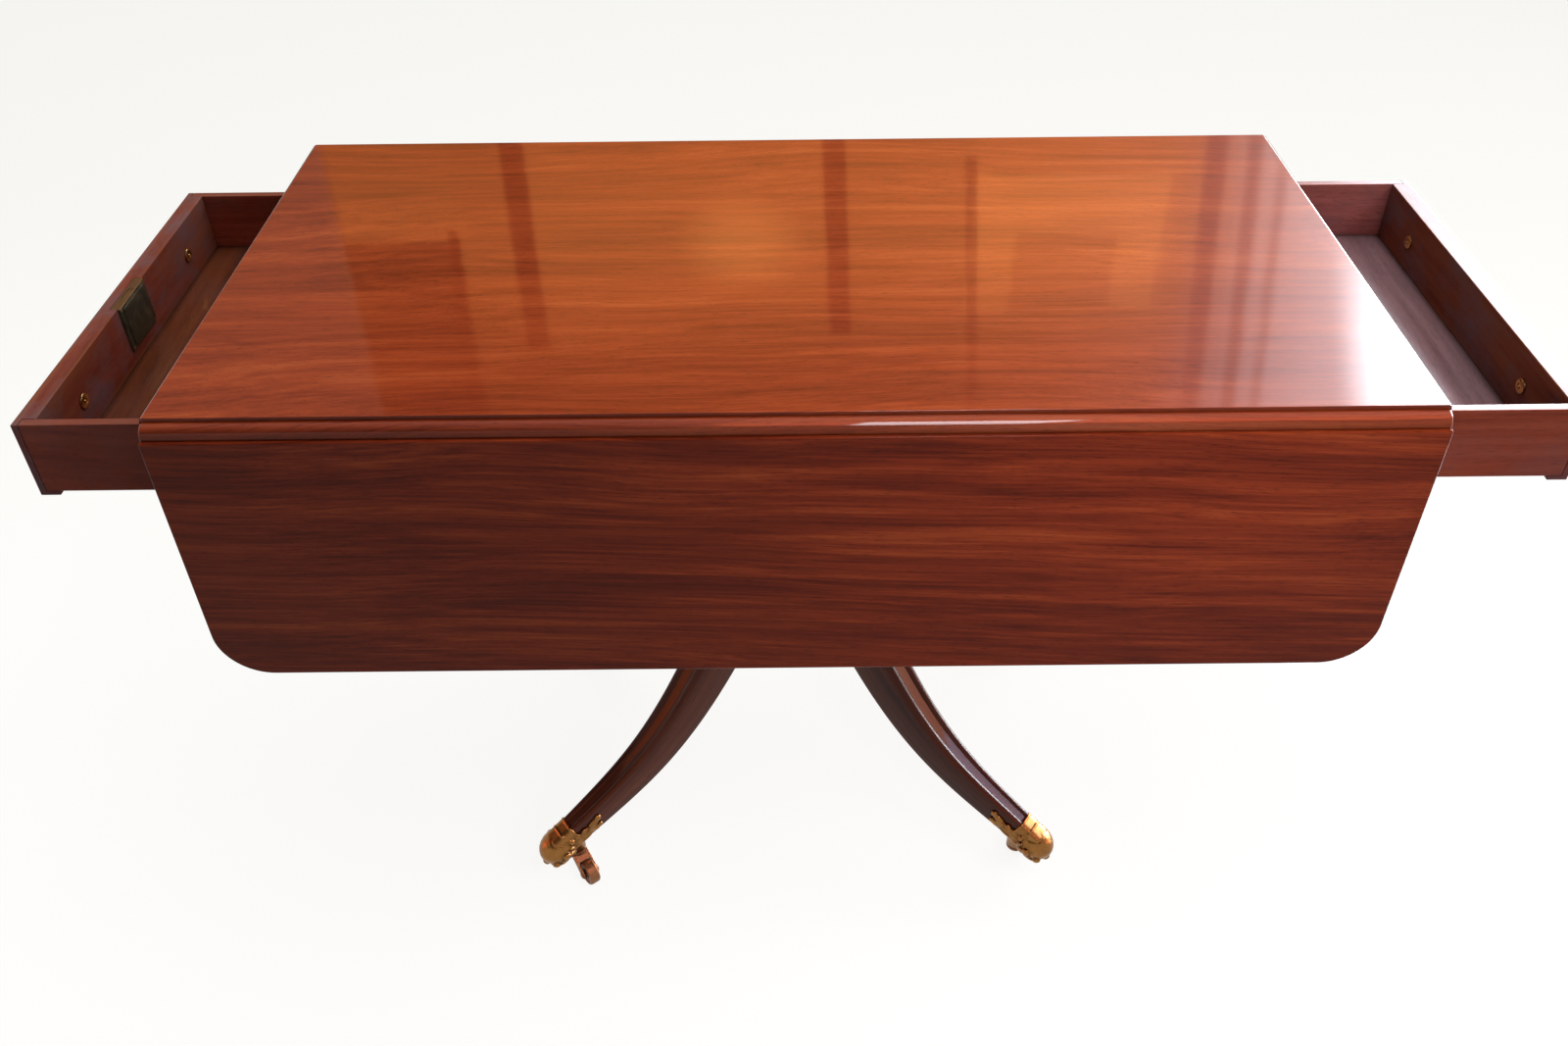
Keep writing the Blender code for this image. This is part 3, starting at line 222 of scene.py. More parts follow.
class Shader:
    """The node tree of a material or a world, with short ways to add its nodes."""

    def __init__(self, name, owner=None, surface="Principled BSDF"):
        self.owner = owner or bpy.data.materials.new(name)
        self.owner.use_nodes = True
        self.tree = self.owner.node_tree
        self.surface = self.tree.nodes[surface]

    def add(self, kind, *inputs, **settings):
        made = self.tree.nodes.new(kind)
        for key, value in settings.items():
            setattr(made, key, value)
        for socket, value in zip(made.inputs, inputs):
            self.feed(socket, value)
        return made

    def feed(self, socket, value):
        """Links a socket or sets its value; a colour leaves out its alpha."""
        if isinstance(value, bpy.types.NodeSocket):
            self.tree.links.new(value, socket)
        else:
            socket.default_value = (*value, 1.0) if socket.type == "RGBA" else value

    def set(self, node=None, **values):
        """Values and links for the sockets of a node, or else of the surface, with _ for a space."""
        node = node or self.surface
        for key, value in values.items():
            self.feed(node.inputs[key.replace("_", " ")], value)
        return node.outputs[0]

    def show(self, shader):
        """Makes another shader node the material's surface."""
        self.tree.links.new(shader.outputs[0], self.tree.nodes["Material Output"].inputs["Surface"])

    def axes(self, vector):
        return self.add("ShaderNodeSeparateXYZ", vector).outputs

    def geometry(self, output):
        return self.add("ShaderNodeNewGeometry").outputs[output]

    def place(self, axis):
        """Object coordinates, in metres, turned so that the grain runs along the first one."""
        if axis == "grain":
            return self.add("ShaderNodeAttribute", attribute_name="grain").outputs["Vector"]
        coords = self.add("ShaderNodeTexCoord").outputs["Object"]
        if axis == "x":
            return coords
        x, y, z = self.axes(coords)
        return self.add("ShaderNodeCombineXYZ", *((y, x, z) if axis == "y" else (z, x, y))).outputs[0]

    def stretch(self, vector, scale, turn=(0.0, 0.0, 0.0)):
        made = self.add("ShaderNodeMapping", vector_type="POINT")
        return self.set(made, Vector=vector, Rotation=turn, Scale=scale)

    def noise(self, vector, kind):
        along, across, detail, rough, distortion = NOISES[kind]
        where = self.stretch(vector, (along, across, across))
        made = self.add("ShaderNodeTexNoise", where)
        return self.set(made, Scale=1.0, Detail=detail, Roughness=rough, Distortion=distortion)

    def math(self, operation, *values, clamp=False):
        return self.add("ShaderNodeMath", *values, operation=operation, use_clamp=clamp).outputs[0]

    def vary(self, value, low, high, to_low=0.0, to_high=1.0, soft=False):
        kind = "SMOOTHSTEP" if soft else "LINEAR"
        made = self.add("ShaderNodeMapRange", value, low, high, to_low, to_high, interpolation_type=kind)
        return made.outputs[0]

    def mix(self, share, first, second, blend="MIX"):
        return self.add("ShaderNodeMixRGB", share, first, second, blend_type=blend).outputs[0]

    def ramp(self, value, stops):
        made = self.add("ShaderNodeValToRGB", value)
        elements = made.color_ramp.elements
        while len(elements) < len(stops):
            elements.new(1.0)
        for element, (at, colour) in zip(elements, stops):
            element.position = at
            element.color = (*colour, 1.0)
        return made.outputs["Color"]

    def bump(self, height, distance):
        return self.set(self.add("ShaderNodeBump"), Strength=1.0, Distance=distance, Height=height)

    def hollows(self, reach):
        """How far a point lies in a corner, from 0 in the open to 1."""
        made = self.add("ShaderNodeAmbientOcclusion", samples=6)
        self.set(made, Distance=reach)
        return self.math("SUBTRACT", 1.0, made.outputs["AO"])

    def edges(self):
        """How sharply a surface turns outwards, from 0 on a flat to 1."""
        return self.vary(self.geometry("Pointiness"), 0.52, 0.62)


def wood(name, stops, axis, rough=0.4, coat=0.0, coat_rough=0.1, coat_ior=1.5, specular=0.1, upward=0.0,
         sides=1.0, tilt=0.0, sweep=0.09, shares=(0.42, 0.42, 0.16), contrast=0.3, wear_and_highlight=0.0,
         worn_and_lit=WORN_AND_LIT_MAHOGANY, corner_shade=0.3, dust=0.0, wave=0.0):
    """Mahogany: broad figure, streaks, fine lines and pores drawn out along the grain, under polish.

    Level faces have the polish upward; others coat and get painted shade, keeping the sides share of their
    colour. Shares weigh the first three.
    """
    s = Shader(name)
    place = s.stretch(s.place(axis), (1.0, 1.0, 1.0), (0.0, tilt, 0.0))
    drift = s.noise(place, "drift")
    bent = s.add("ShaderNodeVectorMath", drift, (0.0, sweep, sweep), place, operation="MULTIPLY_ADD")
    layers = ("figure", "streak", "line", "pore")
    figure, streak, line, pore = (s.noise(bent.outputs[0], layer) for layer in layers)
    value = s.math("MULTIPLY", figure, shares[0])
    for layer, share in zip((streak, line), shares[1:]):
        value = s.math("MULTIPLY_ADD", layer, share, value)
    half = contrast / 2
    colour = s.ramp(s.vary(value, 0.5 - half, 0.5 + half), stops)
    colour = s.mix(s.vary(pore, 0.6, 0.7, to_high=0.45), colour, PORE_AND_SHADE_COLOUR)
    # Painted shade: corners and creases are darkened towards a near-black brown.
    if corner_shade:
        corner = s.math("MULTIPLY", s.hollows(reach=0.008), 1.6 * corner_shade, clamp=True)
        colour = s.mix(corner, colour, CORNER_SHADE_COLOUR)
    # Wear and a painted highlight: edges and reed crests are lightened towards a warm brown.
    if wear_and_highlight:
        rub_and_highlight = s.vary(streak, 0.35, 0.65, to_low=0.3 * wear_and_highlight, to_high=wear_and_highlight)
        colour = s.mix(s.math("MULTIPLY", s.edges(), rub_and_highlight, clamp=True), colour, worn_and_lit)
    # Dust and a painted sheen: pale purple-grey clouds over the wood.
    if dust:
        colour = s.mix(s.vary(s.noise(place, "dust"), 0.44, 0.66, to_high=dust), colour, DUST_AND_SHEEN_COLOUR)
    s.set(Specular_IOR_Level=specular, Coat_Weight=coat, Coat_Roughness=coat_rough, Coat_IOR=coat_ior)
    if upward:
        level = s.axes(s.geometry("Normal"))[2]
        s.set(Coat_Weight=s.vary(level, 0.4, 0.95, coat, upward))
        # Painted shade: faces that are not level are darkened towards the pore colour, keeping the sides
        # share.
        colour = s.mix(s.vary(level, 0.6, 0.99, 1.0 - sides, 0.0), colour, PORE_AND_SHADE_COLOUR)
    s.set(Base_Color=colour, Roughness=s.vary(line, 0.3, 0.7, rough - 0.06, rough + 0.08))
    grain = s.math("SUBTRACT", s.math("MULTIPLY", line, 0.4), s.math("MULTIPLY", pore, 0.6))
    s.set(Normal=s.bump(grain, GRAIN_RELIEF))
    if wave:
        s.set(Coat_Normal=s.bump(s.noise(place, "swell"), wave))
    return s.owner


def brass(name, bright, dull, rough):
    """Cast brass whose gilding wears away: bright where it is handled, brown in the hollows."""
    s = Shader(name)
    cloud, speck = (s.noise(s.place("x"), kind) for kind in ("brass", "speck"))
    tarnish = s.math("MULTIPLY_ADD", s.hollows(reach=0.005), 2.4, s.vary(cloud, 0.4, 0.75, to_high=0.35))
    tarnish = s.math("SUBTRACT", tarnish, s.math("MULTIPLY", s.edges(), 0.6), clamp=True)
    colour = s.mix(tarnish, bright, dull)
    colour = s.mix(s.vary(speck, 0.6, 0.75, to_high=0.25), colour, dull)
    s.set(Base_Color=colour, Metallic=1.0, Roughness=s.vary(cloud, 0.3, 0.7, rough - 0.06, rough + 0.14))
    s.set(Normal=s.bump(s.math("ADD", cloud, s.math("MULTIPLY", speck, 0.3)), BRASS_RELIEF))
    return s.owner


def iron(name, stops):
    """Blackened iron with a little rust."""
    s = Shader(name)
    cloud = s.noise(s.place("x"), "iron")
    s.set(Base_Color=s.ramp(cloud, stops), Metallic=0.6, Roughness=s.vary(cloud, 0.3, 0.7, 0.42, 0.62))
    s.set(Normal=s.bump(cloud, IRON_RELIEF))
    return s.owner


TOP_STOPS = [(0.0, (0.18, 0.019, 0.003)), (0.35, (0.31, 0.037, 0.007)),
             (0.62, (0.42, 0.057, 0.011)), (1.0, (0.56, 0.105, 0.024))]
LEAF_STOPS = [(0.0, (0.105, 0.012, 0.004)), (0.32, (0.17, 0.02, 0.006)),
              (0.65, (0.25, 0.033, 0.009)), (1.0, (0.36, 0.062, 0.016))]
FRONT_STOPS = [(0.0, (0.16, 0.026, 0.015)), (0.5, (0.27, 0.049, 0.028)), (1.0, (0.39, 0.084, 0.049))]
LINING_STOPS = [(0.0, (0.19, 0.027, 0.014)), (0.5, (0.34, 0.054, 0.028)), (1.0, (0.47, 0.09, 0.049))]
# Painted light: a paler, pinker copy of the lining colours, for the right drawer's far cheek.
LIT_CHEEK_STOPS = [(0.0, (0.32, 0.088, 0.075)), (0.5, (0.5, 0.15, 0.131)), (1.0, (0.63, 0.21, 0.187))]
# Dust and painted light: a paler, purplish copy of the drawer floor colours, for the right drawer.
LIT_DUSTY_FLOOR_STOPS = [(0.0, (0.18, 0.09, 0.096)), (0.5, (0.28, 0.156, 0.168)), (1.0, (0.37, 0.216, 0.234))]
FLOOR_STOPS = [(0.0, (0.07, 0.018, 0.007)), (0.5, (0.14, 0.036, 0.013)), (1.0, (0.21, 0.06, 0.022))]
LEG_STOPS = [(0.0, (0.06, 0.012, 0.006)), (0.5, (0.15, 0.032, 0.014)), (1.0, (0.26, 0.062, 0.024))]
CARCASS_STOPS = [(0.0, (0.16, 0.075, 0.035)), (0.5, (0.25, 0.125, 0.06)), (1.0, (0.33, 0.18, 0.09))]
IRON_STOPS = [(0.35, (0.032, 0.033, 0.019)), (0.55, (0.06, 0.055, 0.031)), (0.75, (0.11, 0.072, 0.038))]
SATIN = dict(coat=1.0, coat_ior=1.2, specular=0.0)
DRAWER = dict(coat_rough=0.12, wear_and_highlight=0.7)

# Painted shade in the fillet's corner and on the rule joint's faces that are not level.
TOP_WOOD = wood("mahogany_top", TOP_STOPS, "x", coat=0.2, coat_rough=0.04, upward=1.0, sides=0.45,
                corner_shade=0.6, contrast=0.35, sweep=0.17, shares=(0.34, 0.42, 0.24), wave=0.00012)
LEAF_WOOD = wood("mahogany_leaf", LEAF_STOPS, "x", coat=1.0, coat_ior=1.16, specular=0.0,
                 corner_shade=0.2, contrast=0.27, tilt=radians(-2.5), shares=(0.24, 0.46, 0.3), wave=0.0001)
FRONT_WOOD = wood("mahogany_front", FRONT_STOPS, "y", coat=0.03, specular=0.04, upward=0.75, dust=0.7,
                  sides=0.72, **DRAWER)
LINING_WOOD = wood("lining_side", LINING_STOPS, "x", coat=0.05, specular=0.05, upward=0.8, dust=0.2,
                   sides=0.72, **DRAWER)
LINING_CROSS = wood("lining_back", LINING_STOPS, "y", coat=0.15, coat_rough=0.15, wear_and_highlight=0.4, upward=1.0)
LINING_LIT_CHEEK = wood("lining_faded", LIT_CHEEK_STOPS, "x", coat=0.1, coat_rough=0.12, wear_and_highlight=0.5, upward=0.8,
                    dust=0.5)
FLOOR_WOODS = {
    "left": wood("lining_floor", FLOOR_STOPS, "y", coat=1.0, coat_rough=0.16, corner_shade=0.9, dust=0.1),
    # The right drawer's floor: dust and painted light.
    "right": wood("lining_floor_dusty", LIT_DUSTY_FLOOR_STOPS, "y", coat=1.0, coat_rough=0.2, corner_shade=0.9, dust=0.3),
}
# Wear and a painted highlight along the reed crests.
LEG_WOOD = wood("mahogany_leg", LEG_STOPS, "grain", coat_rough=0.13, wear_and_highlight=0.9, corner_shade=0.2, **SATIN)
PILLAR_WOOD = wood("mahogany_pillar", LEG_STOPS, "z", coat_rough=0.08, wear_and_highlight=0.5, corner_shade=0.6, **SATIN)
BEARER_WOOD = wood("mahogany_bearer", LEG_STOPS, "y", coat=0.3, coat_rough=0.3)
CARCASS_WOOD = wood("carcass", CARCASS_STOPS, "x", rough=0.6, wear_and_highlight=0.4, corner_shade=0.6, worn_and_lit=(0.36, 0.2, 0.1))
GILT = brass("gilt_brass", (0.74, 0.44, 0.16), (0.17, 0.085, 0.03), 0.27)
CAP_BRASS = brass("cap_brass", (0.27, 0.12, 0.034), (0.028, 0.014, 0.007), 0.27)
CASTOR_BRASS = brass("castor_brass", (0.22, 0.098, 0.046), (0.05, 0.022, 0.012), 0.4)
DULL_BRASS = brass("dull_brass", (0.3, 0.19, 0.085), (0.09, 0.055, 0.025), 0.4)
IRON = iron("blackened_iron", IRON_STOPS)


def arc(centre, radius, start, end, steps):
    """Points on an arc, its angles in degrees."""
    angles = [radians(start + (end - start) * i / steps) for i in range(steps + 1)]
    return [Vector((centre[0] + radius * cos(a), centre[1] + radius * sin(a))) for a in angles]


def quarter(steps):
    """Angles from nought to a right angle."""
    return [pi / 2 * i / steps for i in range(steps + 1)]


def circle(radius, steps):
    angles = [tau * i / steps for i in range(steps)]
    return [Vector((radius * cos(a), radius * sin(a))) for a in angles]


def rectangle(low, high, corner, steps=3):
    """A rectangle with round corners, anticlockwise from its lower right."""
    left, right = low[0] + corner, high[0] - corner
    foot, head = low[1] + corner, high[1] - corner
    centres = ((right, foot, -90), (right, head, 0), (left, head, 90), (left, foot, 180))
    return [point for x, y, start in centres for point in arc((x, y), corner, start, start + 90, steps)]


def inset(outline, depth):
    """An anticlockwise outline moved in by the depth."""
    moved = []
    for i, point in enumerate(outline):
        before = (point - outline[i - 1]).normalized()
        after = (outline[(i + 1) % len(outline)] - point).normalized()
        first, second = Vector((-before.y, before.x)), Vector((-after.y, after.x))
        moved.append(point + (first + second) * (depth / (1.0 + first.dot(second))))
    return moved


def skin(bm, rings):
    """Closed rings of points joined into one skin, with a face over each end."""
    loops = [[bm.verts.new(point) for point in ring] for ring in rings]
    for lower, upper in zip(loops, loops[1:]):
        for i in range(len(lower)):
            j = (i + 1) % len(lower)
            bm.faces.new((lower[i], lower[j], upper[j], upper[i]))
    bm.faces.new(loops[0][::-1])
    bm.faces.new(loops[-1])


ALONG = {
    "x": lambda u, v, w: Vector((w, u, v)),
    "y": lambda u, v, w: Vector((u, w, v)),
    "z": lambda u, v, w: Vector((u, v, w)),
}


def slab(bm, outline, low, high, edge, axis, steps=3):
    """A flat outline drawn out along an axis from low to high, its rims rounded."""
    turns = quarter(steps)
    levels = [(edge * (1 - sin(a)), low + edge * (1 - cos(a))) for a in turns]
    levels += [(edge * (1 - sin(a)), high - edge * (1 - cos(a))) for a in reversed(turns)]
    skin(bm, [[ALONG[axis](*point, level) for point in inset(outline, depth)] for depth, level in levels])


def board(bm, low, high, edge):
    """A box between two corners, all its edges rounded."""
    slab(bm, rectangle(low[:2], high[:2], edge), low[2], high[2], edge, "z")


def turned(bm, profile, matrix=Matrix.Identity(4), steps=48):
    """A profile of (radius, height) points turned about Z, from the axis and, if closed, back to it."""
    closed = not profile[-1][0]
    rings = []
    for radius, height in profile[1:-1] if closed else profile[1:]:
        rings.append([bm.verts.new(matrix @ Vector((*point, height))) for point in circle(radius, steps)])
    ends = (profile[0], profile[-1]) if closed else profile[:1]
    first, *last = (bm.verts.new(matrix @ Vector((0, 0, height))) for _, height in ends)
    for i in range(steps):
        j = (i + 1) % steps
        bm.faces.new((first, rings[0][i], rings[0][j]))
        if last:
            bm.faces.new((*last, rings[-1][j], rings[-1][i]))
        for upper, lower in zip(rings, rings[1:]):
            bm.faces.new((upper[i], lower[i], lower[j], upper[j]))


def facing(place, outward):
    """A frame at a place with its Z outward."""
    return Matrix.Translation(place) @ Vector((0, 0, 1)).rotation_difference(outward).to_matrix().to_4x4()


def aimed(place, direction, axis="Z"):
    """A frame at a place with an axis along the direction, kept upright."""
    return Matrix.Translation(place) @ direction.to_track_quat(axis, "Y").to_matrix().to_4x4()


def placed(name, data):
    """A new object in the scene."""
    made = bpy.data.objects.new(name, data)
    bpy.context.scene.collection.objects.link(made)
    return made


def make(name, material, build, *sizes):
    """An object whose mesh a function builds, its faces turned outward."""
    bm = bmesh.new()
    build(bm, *sizes)
    bmesh.ops.recalc_face_normals(bm, faces=bm.faces[:])
    mesh = bpy.data.meshes.new(name)
    bm.to_mesh(mesh)
    bm.free()
    mesh.materials.append(material)
    return placed(name, mesh)


def shade(piece, crease=32.0):
    """Smooth shading, but for edges sharper than the crease."""
    piece.data.shade_smooth()
    piece.data.set_sharp_from_angle(angle=radians(crease))


def settle(piece):
    """Takes the piece's modifiers into its mesh."""
    graph = bpy.context.evaluated_depsgraph_get()
    mesh = bpy.data.meshes.new_from_object(piece.evaluated_get(graph))
    piece.modifiers.clear()
    old, piece.data = piece.data, mesh
    mesh.name = piece.name
    bpy.data.meshes.remove(old)


def carve(piece, *cutters):
    """Cuts boxes and rods out of a piece, one after another."""
    tools = []
    for cutter in cutters:
        tools.append(make("cutter", None, cutter))
        cut = piece.modifiers.new("carve", "BOOLEAN")
        cut.operation, cut.solver, cut.object = "DIFFERENCE", "MANIFOLD", tools[-1]
    settle(piece)
    for tool in tools:
        bpy.data.objects.remove(tool)


def box(low, high):
    """A cutter: a box between two corners."""
    low, high = Vector(low), Vector(high)
    lie = Matrix.Translation((low + high) / 2) @ Matrix.Diagonal((*(high - low), 1.0))
    return lambda bm: bmesh.ops.create_cube(bm, size=1.0, matrix=lie)


def rod(start, end, radius, steps=32):
    """A cutter: a round rod between two points."""
    start, end = Vector(start), Vector(end)
    lie = aimed((start + end) / 2, end - start)
    size = dict(segments=steps, radius1=radius, radius2=radius, depth=(end - start).length)
    return lambda bm: bmesh.ops.create_cone(bm, cap_ends=True, matrix=lie, **size)


def ready(piece, body, slot, *nodes, crease=32.0, flat=True):
    """Puts a piece on its body in the place of its nodes, smooth but for its creases and flat faces."""
    shade(piece, crease)
    if flat:
        piece.modifiers.new("flat_faces", "WEIGHTED_NORMAL").keep_sharp = True
    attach(piece, body)
    if nodes:
        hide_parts(*nodes)


def grown(node):
    """A node's box with room to fit round it."""
    low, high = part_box(node)
    room = Vector((FIT, FIT, FIT))
    return low - room, high + room


def plain_board(node, name, material, body, slot, edge, *cutters):
    """A node's box with rounded edges, less what the cutters take."""
    made = make(name, material, board, *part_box(node), edge)
    if cutters:
        carve(made, *cutters)
    ready(made, body, slot, node)


def table_top():
    under, over = TOP_LOW.z, TOP_HIGH.z
    foot = -degrees(asin((JOINT_Z - under) / JOINT_RADIUS))
    right = [Vector((HALF_WIDTH - TOP_RIM, over))]
    right += arc((HALF_WIDTH - TOP_ARRIS, over - TOP_ARRIS), TOP_ARRIS, 90, 0, 4)
    right += arc((HALF_WIDTH, JOINT_Z), JOINT_RADIUS, 90, foot, 24)
    outline = right[::-1] + [Vector((-y, z)) for y, z in right]
    top = make("top_board", TOP_WOOD, slab, outline, TOP_LOW.x, TOP_HIGH.x, TOP_END_ROUND, "x", 4)
    pockets = []
    for row, side in ROWS.items():
        for end in ENDS:
            low, high = grown(f"hinge_top_flap_{row}_{end}")
            inner = side * min(abs(low.y), abs(high.y))
            across = sorted((inner, side * (HALF_WIDTH + JOINT_RADIUS + PAST)))
            roof = under + HINGE_PLATE + FIT
            pockets.append(box((low.x, across[0], under - PAST), (high.x, across[1], roof)))
            line = (side * HALF_WIDTH, JOINT_Z)
            pockets.append(rod((low.x, *line), (high.x, *line), HINGE_BARREL + FIT, 24))
    carve(top, *pockets)
    ready(top, "carcass", "polished_mahogany", "table_top")


def leaves():
    for row, side in ROWS.items():
        low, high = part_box(f"leaf_{row}")
        left, right, foot = low.x + LEAF_CORNER, high.x - LEAF_CORNER, low.z + LEAF_CORNER
        head = high.z - LEAF_ROUND
        outline = arc((right, foot), LEAF_CORNER, -90, 0, 18)
        outline += arc((high.x - LEAF_ROUND, head), LEAF_ROUND, 0, 90, 3)
        outline += arc((low.x + LEAF_ROUND, head), LEAF_ROUND, 90, 180, 3)
        outline += arc((left, foot), LEAF_CORNER, 180, 270, 18)
        leaf = make(f"leaf_board_{row}", LEAF_WOOD, slab, outline, low.y, high.y, LEAF_ROUND, "y", 4)
        line = [(x * 1.1, side * HALF_WIDTH, JOINT_Z) for x in (low.x, high.x)]
        cuts = [rod(*line, JOINT_RADIUS + COVE_GAP, 96)]
        inner = side * min(abs(low.y), abs(high.y))
        across = sorted((inner - side * PAST, inner + side * (HINGE_PLATE + FIT)))
        for end in ENDS:
            flap_low, flap_high = grown(f"hinge_leaf_flap_{row}_{end}")
            cuts.append(box((flap_low.x, across[0], flap_low.z), (flap_high.x, across[1], JOINT_Z)))
        carve(leaf, *cuts)
        ready(leaf, f"{row}_leaf", "polished_mahogany", f"leaf_{row}")


def drawers():
    for end, side in ENDS.items():
        body = f"{end}_drawer"

        def lining(part, name, timber, *cutters):
            names = f"drawer_{part}", f"drawer_{name}"
            plain_board(*names, timber, body, "drawer_lining", DRAWER_ARRIS, *cutters)

        floor = box(*grown(f"drawer_bottom_{end}"))
        cuts = [*(box(*grown(f"drawer_side_{end}_{row}")) for row in ROWS), floor]
        if end == "left":
            cuts += lock_cuts()
        names = f"drawer_front_{end}", f"drawer_face_{end}"
        plain_board(*names, FRONT_WOOD, body, "polished_mahogany", DRAWER_ARRIS, *cuts)
        for row in ROWS:
            # Painted light: the right drawer's far cheek takes a paler copy of the lining colours.
            timber = LINING_LIT_CHEEK if (end, row) == ("right", "back") else LINING_WOOD
            lining(f"side_{end}_{row}", f"cheek_{end}_{row}", timber, floor)
        lining(f"back_{end}", f"end_{end}", LINING_CROSS)
        lining(f"bottom_{end}", f"floor_{end}", FLOOR_WOODS[end])
        for row in ROWS:
            knob(end, side, row, body)


def lock_cuts():
    """Room in the left drawer's front for the lock, the keyhole and its escutcheon."""
    case_low, case_high = grown("lock_case")
    low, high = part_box("keyhole_escutcheon")
    middle = (low + high) / 2
    hole = Vector((DRAWER_ARRIS + (high.x - low.x) * 8, KEYHOLE_WIDTH, KEYHOLE_HEIGHT)) / 2
    return [
        box(case_low, (case_high.x, case_high.y, case_high.z + PAST)),
        box(middle - hole, middle + hole),
        rod((low.x - FIT, 0, middle.z), (high.x + FIT, 0, middle.z), (high.z - low.z) / 2 + FIT),
    ]


def knob(end, side, row, body):
    """A turned knob and rose outside a drawer's front, its shank and the round nut inside."""
    node = f"knob_{end}_{row}"
    low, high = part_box(node)
    radius = (high.z - low.z) / 2
    inner, face = (corner.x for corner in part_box(f"drawer_front_{end}")[::side])
    reach = abs((high.x if side > 0 else low.x) - face)
    back = -abs(face - inner) - FIT
    foot, rise = reach * DOME_FOOT, reach * DOME_RISE
    profile = [
        (0.0, reach),
        *((radius * sin(a), foot + rise * cos(a)) for a in quarter(10)[1:]),
        *((radius * wide, reach * tall) for wide, tall in KNOB_NECK),
        (radius * ROSE_FACE, ROSE_THICK), (radius * ROSE_RIM, ROSE_THICK * 0.6),
        (radius * ROSE_RIM, FIT), (SHANK_RADIUS, FIT), (SHANK_RADIUS, back),
        *((NUT_RADIUS * wide, back - NUT_THICK * deep) for wide, deep in NUT_RIM),
        *((SHANK_RADIUS * wide, back - NUT_THICK * deep) for wide, deep in NUT_EYE),
        (0.0, back - NUT_THICK),
    ]
    lie = facing((face, (low.y + high.y) / 2, (low.z + high.z) / 2), Vector((side, 0, 0)))
    made = make(f"knob_turned_{end}_{row}", GILT, turned, profile, lie)
    ready(made, body, "gilt_brass", node, crease=40.0, flat=False)


def screw(bm, place, turn):
    """A countersunk screw head, slotted across, its face just proud of the place and toward +X."""
    lie = facing(place, Vector((1, 0, 0))) @ Matrix.Rotation(turn, 4, "Z") @ Matrix.Scale(SCREW_RADIUS, 4)
    edge = degrees(asin(SCREW_SLOT))
    bow = arc((0.0, 0.0), 1.0, edge, 180 - edge, 12)
    levels = ((0.0, SCREW_DEPTH), (0.0, SCREW_RIM), (SCREW_BEVEL, SCREW_PROUD))
    for side in (-1, 1):
        half = [point * side for point in bow]
        skin(bm, [[lie @ Vector((*point, level)) for point in inset(half, away)] for away, level in levels])
    core = circle(SCREW_CORE, 24)
    skin(bm, [[lie @ Vector((*point, level)) for point in core] for level in (SCREW_DEPTH, SCREW_FLOOR)])


def lock():
    body, (low, high) = "left_drawer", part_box("lock_case")
    face, head = high.x - COVER_RISE, high.z - SELVEDGE_THICK
    bolt_low, bolt_high = grown("lock_bolt")
    room = box(bolt_low, (bolt_high.x, bolt_high.y, high.z + PAST))
    case = make("lock_plate", IRON, board, low, (face, high.y, head), LOCK_EDGE)
    carve(case, room)
    ready(case, body, "blackened_iron", "lock_case")

    free = COVER_INSET
    cover_low = (low.y + free, low.z + free * 0.6)
    outline = rectangle(cover_low, (high.y - free, high.z - free * 0.5), COVER_CORNER)
    back = high.x - COVER_RISE * 1.5
    ready(make("lock_cover", IRON, slab, outline, back, high.x, COVER_EDGE, "x"), body, "blackened_iron")

    ends = (low.x, low.y, head), (face, high.y, high.z)
    strip = make("lock_selvedge", DULL_BRASS, board, *ends, SELVEDGE_EDGE)
    carve(strip, room)
    ready(strip, body, "gilt_brass")

    def screws(bm):
        corners = [(y, z) for z in (low.z, high.z) for y in (low.y, high.y)]
        for (y, z), turn in zip(corners, SCREW_TURNS):
            inward = Vector((0, 1 if y == low.y else -1, 1 if z == low.z else -1)) * free / 2
            screw(bm, Vector((face, y, z)) + inward, turn)

    ready(make("lock_screws", DULL_BRASS, screws), body, "gilt_brass")


def frieze():
    for end in ENDS:
        names = f"end_bottom_rail_{end}", f"frieze_rail_bottom_{end}"
        plain_board(*names, FRONT_WOOD, "carcass", "polished_mahogany", RAIL_ARRIS)
    plain_board("pedestal_bearer", "pedestal_board", BEARER_WOOD, "carcass", "dark_mahogany", RAIL_ARRIS)


def leg_turn(name):
    row, end = (side[part] for side, part in zip((ROWS, ENDS), name.split("_")))
    return Matrix.Rotation(atan2(row * sin(LEG_ANGLE), end * cos(LEG_ANGLE)), 4, "Z")


def leg_path():
    """Points down a leg as (x, 0, z) with the direction and share of the section at each."""
    root, toe = Vector((DRUM_RADIUS, 0, LEG_ROOT_HEIGHT)), Vector((LEG_TOE_REACH, 0, LEG_TOE_HEIGHT))
    leaving = Vector((cos(LEG_ROOT_SLOPE), 0, -sin(LEG_ROOT_SLOPE)))
    arriving = Vector((cos(LEG_TOE_SLOPE), 0, -sin(LEG_TOE_SLOPE)))
    handles = (root + leaving * LEG_ROOT_HANDLE, toe - arriving * LEG_TOE_HANDLE)
    points = interpolate_bezier(root, *handles, toe, LEG_STATIONS)
    ahead = [leaving, *(after - before for before, after in zip(points, points[2:])), arriving]
    shares = [1 + (LEG_TAPER - 1) * i / (LEG_STATIONS - 1) for i in range(LEG_STATIONS)]
    bite = DRUM_RADIUS - sqrt(DRUM_RADIUS**2 - (LEG_WIDTH / 2) ** 2)
    crown = root - leaving * (LEG_DEPTH / 2 * sin(LEG_ROOT_SLOPE) + bite) / cos(LEG_ROOT_SLOPE)
    return [(crown, leaving, 1.0), *zip(points, (step.normalized() for step in ahead), shares)]


